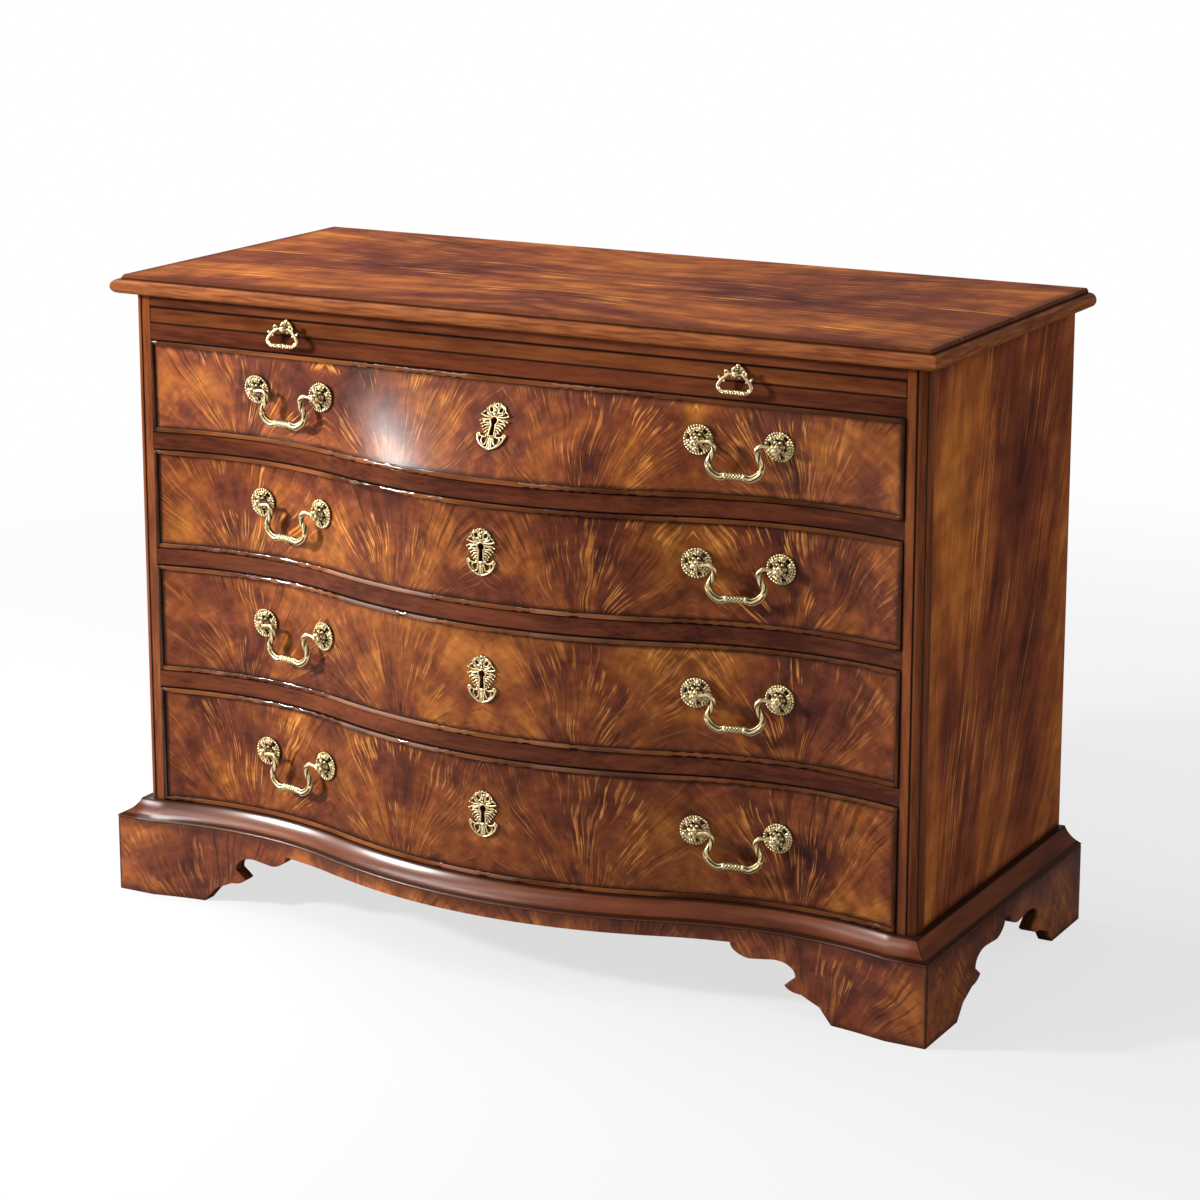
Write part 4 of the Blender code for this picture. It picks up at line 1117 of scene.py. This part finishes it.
def tarnish_sides(shape, low, high, facing=0.8, turned=0.2):
    """Darken what lies below a height, and what turns away from the front."""
    layer = shape.verts.layers.float[TARNISH]
    bmesh.ops.recalc_face_normals(shape, faces=shape.faces)
    shape.normal_update()
    for vert in shape.verts:
        vert[layer] = max(step_between(vert.co.z, high, low), step_between(vert.normal.z, facing, turned))


def metres(shape):
    """Shape made in millimetres, brought to metres."""
    bmesh.ops.scale(shape, vec=(MM, MM, MM), verts=shape.verts)
    return shape


def rosette():
    """Cast rosette: beaded rim, six leaves with small openings between them, and a berried boss.

    It looks along Z; sizes here are in millimetres.
    """
    shape = blank()
    lathe(shape, ((15.2, 0.2), (15.2, 1.0), (16.4, 1.5), (17.8, 1.2), (18.2, 0.6), (18.2, 0.2),
                  (15.2, 0.2)), 48)
    lathe(shape, ((0.0, 0.2), (11.4, 0.2), (11.4, 1.0), (9.5, 1.6), (0.0, 1.8)), 40)
    for number in range(30):
        turn = math.tau * number / 30
        ball(shape, *polar(18.0, turn), 1.6, 1.9)
    for number in range(6):
        turn = math.tau * (number + 0.3) / 6 + 0.06 * math.sin(2.4 * number)
        for swing, start, end, thick, height in ((0.0, 8.5, 16.6, 2.4, 2.3), (-0.22, 9.0, 16.2, 1.7, 2.0),
                                                 (0.22, 9.0, 16.2, 1.7, 2.0)):
            points = [polar(start + (end - start) * share, turn + swing * (0.55 + 0.6 * share))
                      for share in (0.0, 0.35, 0.7, 1.0)]
            strand(shape, points, thick, height, 0.6, 3)
        ball(shape, *polar(13.6, turn), 3.6, 2.1)
        ball(shape, *polar(11.0, turn + 0.24), 3.2, 1.7)
        ball(shape, *polar(11.4, turn - 0.26), 3.0, 1.6)
        curl = turn + (0.42 if number % 2 else -0.44)
        loop(shape, *polar(13.4, curl), 1.9, 1.9, 1.6, 1.0)
    for number in range(7):
        ball(shape, *polar(7.4, math.tau * number / 7 + 0.2), 5.2, 2.7, (1.0, 1.0, 1.3))
    tarnish_sides(shape, 0.8, 1.7, 0.62, 0.12)
    lathe(shape, ((0.0, 0.4), (8.2, 0.4), (8.0, 3.0), (6.6, 6.0), (5.6, 8.0), (5.2, 10.0), (5.2, 14.0),
                  (4.0, 16.0), (0.0, 17.5)), 30)
    berries = blank()
    for rings, place, height, size in ((6, 5.2, 9.4, 2.4), (5, 4.4, 13.4, 3.1), (1, 0.0, 16.6, 3.3)):
        for number in range(rings):
            turn = math.tau * (number + height / 7) / rings
            ball(berries, *polar(place, turn), height, size, (1.0, 1.0, 1.1))
    tarnish_sides(berries, 6.0, 8.0, 0.30, -0.35)
    joined(shape, berries)
    return metres(shape)


def bail(half):
    """Swan-neck bail with twisted necks, fluted shoulders and a scaled grip.

    X is along it and Y up; sizes here are in millimetres, but half its width is in metres.
    """
    out = (half - KNOB_RADIUS) / MM
    drop = BAIL_DROP / MM
    knots = [(0.0, -0.96 * drop), (0.27 * out, -0.965 * drop), (0.46 * out, -drop),
             (0.70 * out, -0.84 * drop), (0.78 * out, -0.61 * drop), (0.68 * out, -0.38 * drop),
             (0.61 * out, -0.15 * drop), (0.71 * out, 0.02 * drop), (0.88 * out, 0.025 * drop),
             (out, 0.0), (out + PIN_INSIDE / MM, 0.0)]
    path, away = swept(knots, BAIL_RADII, 0.6)
    grip, collar, shoulder, neck = 11.5, 13.0, 40.0, 74.0

    def carving(number, turn):
        """Scales on the grip, a collar, flutes on the shoulders and a twist on the necks."""
        distance = away[number]
        if distance < grip:
            scale = abs(math.cos(3 * turn + 0.75 * distance) * math.cos(3 * turn - 0.75 * distance)) ** 0.6
            return 0.90 + 0.18 * scale, step_between(scale, 0.72, 0.38)
        if distance < collar:
            return 1.04, 0.0
        if distance < shoulder:
            fade = min(1.0, (distance - collar) / 2.0, (shoulder - distance) / 2.0)
            groove = fade * max(0.0, math.cos(6 * turn)) ** 0.9
        else:
            fade = max(0.0, min(1.0, (distance - shoulder - 1.0) / 2.0, (neck - distance) / 4.0))
            groove = fade * max(0.0, math.cos(3 * turn + 0.5 * distance)) ** 1.1
        return 1.03 - 0.20 * groove, step_between(groove, 0.10, 0.55)

    shape = blank()
    bar(shape, path, 36, 1.0, carving)
    return metres(shape)


def fretwork():
    """Pierced keyhole plate of cast strands, looking along Z; sizes here are in millimetres."""
    shape = blank()
    rim = [Vector(point) / MM for point in KEYHOLE]
    middle = sum(rim, Vector((0, 0))) / len(rim)
    path = [point + (point - middle).normalized() for point in rim]
    path.append(path[0])
    bar(shape, [(*point, 1.6, 1.3) for point in path], STRAND_SIDES, 1.1)
    for side in (-1, 1):
        for points, radius, height in PLATE_STRANDS:
            strand(shape, [(side * x, y) for x, y in points], radius, height, 0.6)
        for x, y, radius in PLATE_PIPS:
            ball(shape, side * x, y, 1.7, radius)
        loop(shape, side * 7.2, 21.6, 1.3, 3.3, 4.6, 1.05, -side * 0.5)
        loop(shape, side * 18.4, -12.4, 1.5, 2.3, 2.3, 1.05)
    loop(shape, 0.0, 27.6, 1.5, 2.5, 2.5, 1.15)
    ball(shape, 0.0, 30.6, 1.6, 1.4)
    ball(shape, 0.0, 20.6, 1.9, 1.8, (1.0, 1.5, 1.0))
    ball(shape, 0.0, 16.0, 1.9, 1.9)
    ball(shape, 0.0, -14.4, 1.9, 1.8)
    ball(shape, 0.0, -19.0, 1.8, 1.6)
    strand(shape, [(0, -13.0), (0, -21.0), (0, -30.4)], 1.3, 1.7, 0.7)
    tarnish_sides(shape, 0.5, 1.3)
    return metres(shape)


def pull_post():
    """Arched leaf and bud on the post of a slide pull, looking along Z; sizes here are in millimetres."""
    shape = blank()
    arch = [polar(8.4, math.radians(angle)) for angle in (-20, 10, 45, 80)]
    for side in (-1, 1):
        strand(shape, [(side * x, y) for x, y in arch], 1.9, 1.7, 0.5, 5)
        strand(shape, [(side * 2.0, 7.2), (side * 1.5, 9.2), (0.0, 10.8)], 1.6, 1.6, 0.4, 4)
        strand(shape, [(side * 3.0, 4.6), (side * 4.6, 6.0), (side * 5.0, 7.8)], 1.3, 2.0, 0.5, 4)
        loop(shape, side * 8.8, -3.4, 1.5, 1.8, 1.8, 0.9)
    ball(shape, 0.0, 7.6, 2.6, 1.9)
    tarnish_sides(shape, 0.5, 1.2)
    lathe(shape, ((0.0, 0.0), (7.6, 0.0), (7.6, 0.9), (5.6, 2.2), (3.7, 3.6), (3.5, 5.2), (4.6, 6.8),
                  (5.1, 9.0), (4.7, 11.4), (3.2, 13.2), (0.0, 14.0)), 40,
          lambda turn: 1 + 0.09 * math.cos(5 * turn + math.pi / 2))
    return metres(shape)


def pull_drop():
    """Drop of a slide pull: knobbly foot, leaf tips, pips and curled ends.

    X is along it and Y up; sizes here are in millimetres.
    """
    wide, drop = 23.0, 22.0
    knots = [(0.0, -drop), (wide * 0.40, -drop), (wide * 0.74, -drop * 0.98), (wide, -drop * 0.74),
             (wide * 0.84, -drop * 0.40), (wide * 0.52, -drop * 0.10), (8.0, 0.0), (1.8, 0.0)]
    path, away = swept(knots, PULL_RADII, 0.7)
    foot, tip = 16.0, 44.0

    def carving(number, turn):
        """Knobs on the foot and flutes above it."""
        distance = away[number]
        if distance < foot:
            swell = 0.55 * math.cos(distance * 1.75) + 0.45 * math.cos(4 * turn + 0.9 * distance)
            return 1 + 0.24 * swell, step_between(swell, 0.25, -0.35)
        groove = max(0.0, math.cos(4 * turn)) if distance < tip else 0.0
        return 1.03 - 0.18 * groove, step_between(groove, 0.15, 0.7)

    shape = blank()
    bar(shape, path, 24, 1.0, carving)
    leaves = blank()
    for side in (-1, 1):
        for points, radius, taper in ((((19.4, -8.6), (21.4, -5.8), (23.4, -3.6)), 1.7, 0.3),
                                      (((19.0, -8.6), (17.2, -9.0), (15.6, -9.0)), 1.2, 0.6),
                                      (((13.4, -3.6), (14.8, -0.4), (13.6, 2.6)), 1.3, 0.5)):
            strand(leaves, [(side * x, y) for x, y in points], radius, 0.0, taper, 4)
        loop(leaves, side * 12.2, 1.6, 0.0, 2.5, 2.5, 1.25)
        loop(leaves, side * 20.4, -18.6, 1.4, 1.6, 1.6, 1.0)
        ball(leaves, side * 15.0, -9.0, 0.0, 1.6)
        for x in (1.8, 5.4, 9.0, 12.6, 16.0):
            ball(leaves, side * x, -20.4, 1.3, 1.25)
            ball(leaves, side * (x - 1.8), -23.6, 0.9, 1.25)
    tarnish_sides(leaves, -1.2, -0.4, 0.75, 0.15)
    joined(shape, leaves)
    for vert in shape.verts:
        vert.co.z += PULL_BOW * max(0.0, -vert.co.y / drop) ** 1.5
    return metres(shape)


def laid(shape, at):
    """Copy of a shape, moved to its place."""
    moved = shape.copy()
    bmesh.ops.transform(moved, matrix=at, verts=moved.verts)
    return moved


def upright(middle, along):
    """Frame of a hanging bail: X along its pivots and Y up."""
    x_axis = Vector(along).normalized()
    y_axis = Vector((0, 0, 1))
    return axes(middle, x_axis, y_axis, x_axis.cross(y_axis))


def seat(node, number, x, z):
    """Foot of a rosette and the way that it faces."""
    normal = face_normal(number, x, z)
    face = Vector((x, face_y(number, x, z), z))
    low = min(vert.co.dot(normal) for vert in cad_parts[node].data.vertices)
    return face + normal * (low - face.dot(normal)), normal


def brass(name, shape, at, body, node):
    """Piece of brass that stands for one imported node."""
    piece(name, laid(shape, at), BRASS, body, [node], BRASS_SMOOTH)


def brasswork():
    """Handles, keyhole plates and slide pulls."""
    plate, cast, post, pull = fretwork(), rosette(), pull_post(), pull_drop()
    for number in DRAWERS:
        name = f"drawer_{number + 1}"
        brass(f"{name}_keyhole_plate", plate, keyhole_place(number, FIT), name, f"{name}_escutcheon")
        height = sum(OPENINGS[number]) / 2 + HANDLE_RISE
        for side, word in SIDES:
            pivots = []
            for place, away in (("inner", -1), ("outer", 1)):
                node = f"{name}_{word}_{place}_rosette"
                x = side * (HANDLE_FROM_MIDDLE + away * HANDLE_CENTRES / 2)
                foot, normal = seat(node, number, x, height)
                brass(f"{node}_cast", cast, standing(foot, normal, (1, 0, 0)), name, node)
                pivots.append(foot + normal * PIN_HEIGHT)
            left, right = sorted(pivots, key=lambda point: point.x)
            along = Vector((right.x - left.x, right.y - left.y, 0))
            middle = (left + right) / 2
            middle.z = height
            brass(f"{name}_{word}_swan_neck", bail(along.length / 2), upright(middle, along),
                  f"{name}_{word}_bail", f"{name}_{word}_bail")
    for side, word in SIDES:
        foot = Vector((side * HANDLE_FROM_MIDDLE, Y_FRONT - FIT, PULL_HEIGHT))
        brass(f"slide_{word}_palmette", post, standing(foot, (0, -1, 0), (1, 0, 0)), "slide",
              f"slide_{word}_post")
        pin = foot - Vector((0, PULL_PIN_HEIGHT, 0))
        brass(f"slide_{word}_drop", pull, upright(pin, (1, 0, 0)), f"slide_{word}_bail",
              f"slide_{word}_bail")


brasswork()


# Studio

FLOOR_RADIUS = 30.0
FLOOR_GREY = (0.60, 0.60, 0.60, 1.0)
WHITE = (1.0, 1.0, 1.0, 1.0)
SKY_LEVEL = 0.17
# Degrees round from the front and up, distance, width, height and power of each lamp
LAMPS = (("key", -56, 20, 3.2, 0.36, 0.3, 160.0),
         ("fill", 78, 25, 4.2, 2.6, 2.6, 45.0),
         ("high", -98, 52, 3.0, 1.0, 1.2, 58.0),
         ("line", -50, 50, 3.0, 2.8, 0.4, 20.0),
         ("overhead", -20, 75, 3.2, 2.2, 2.2, 5.0))
LAMPS_LOOK_AT = (0, -0.1, 0.45)
CAMERA_PLACE = (2.0752, -3.7390, 1.5544)
CAMERA_TURN, CAMERA_DOWN = 28.739, 12.5545  # degrees
CAMERA_LENS, CAMERA_SENSOR = 98.734, 36.0   # millimetres
CAMERA_SHIFT = -0.10


def ground():
    """Pale floor that keeps the shadow near the chest and turns white further out."""
    shape = bmesh.new()
    bmesh.ops.create_circle(shape, cap_ends=True, radius=FLOOR_RADIUS, segments=64)
    mesh = meshed("floor", shape)
    floor = shown("floor", mesh)
    paint = Finish("floor_paint", Base_Color=FLOOR_GREY, Roughness=0.9)
    far = paint.add("VectorMath", {0: paint.spot()}, operation="LENGTH").outputs["Value"]
    seen = paint.add("LightPath", {}).outputs["Is Camera Ray"]
    share = paint.times(seen, paint.smooth(far, 0.7, 3.2, 0.70, 1.0))
    glow = paint.add("Emission", {}).outputs[0]
    blend = paint.add("MixShader", {0: share, 1: paint.shader.outputs[0], 2: glow}).outputs[0]
    paint.put(blend, paint.tree.nodes["Material Output"].inputs[0])
    mesh.materials.append(paint.made)


def surroundings():
    """White background, which brass and gloss show too, over a low even light."""
    world = bpy.data.worlds.new("studio")
    bpy.context.scene.world = world
    light = Nodes(world)
    sky = light.tree.nodes["Background"]
    sky.inputs[0].default_value = WHITE
    behind = light.smooth(light.place("Generated")[1], -0.3, 0.5, 0.28, 1.0)
    rays = light.add("LightPath", {}).outputs
    level = SKY_LEVEL
    for ray, bright in (("Is Glossy Ray", behind), ("Is Transmission Ray", behind), ("Is Camera Ray", 1.0)):
        level = light.add("Mix", {0: rays[ray], 2: level, 3: bright}).outputs[0]
    light.put(level, sky.inputs[1])


def lamps():
    """Soft lamps round the chest, turned to its middle."""
    for name, azimuth, rise, distance, wide, tall, power in LAMPS:
        lamp = bpy.data.lights.new(name, "AREA")
        lamp.shape = "RECTANGLE"
        lamp.size = wide
        lamp.size_y = tall
        lamp.energy = power
        made = shown(name, lamp)
        turn, up = math.radians(azimuth), math.radians(rise)
        away = Vector((math.sin(turn) * math.cos(up), -math.cos(turn) * math.cos(up), math.sin(up)))
        made.location = Vector(LAMPS_LOOK_AT) + away * distance
        made.rotation_euler = away.to_track_quat("Z", "Y").to_euler()


def viewpoint():
    """Camera at the photograph's angle."""
    camera = bpy.data.cameras.new("camera")
    camera.lens = CAMERA_LENS
    camera.sensor_width = CAMERA_SENSOR
    camera.shift_y = CAMERA_SHIFT
    made = shown("camera", camera)
    made.location = CAMERA_PLACE
    turn, down = math.radians(CAMERA_TURN), math.radians(CAMERA_DOWN)
    look = Vector((-math.sin(turn) * math.cos(down), math.cos(turn) * math.cos(down), -math.sin(down)))
    made.rotation_euler = look.to_track_quat("-Z", "Y").to_euler()
    bpy.context.scene.camera = made


ground()
surroundings()
lamps()
viewpoint()
bpy.context.scene.view_settings.view_transform = "Standard"
bpy.context.view_layer.update()
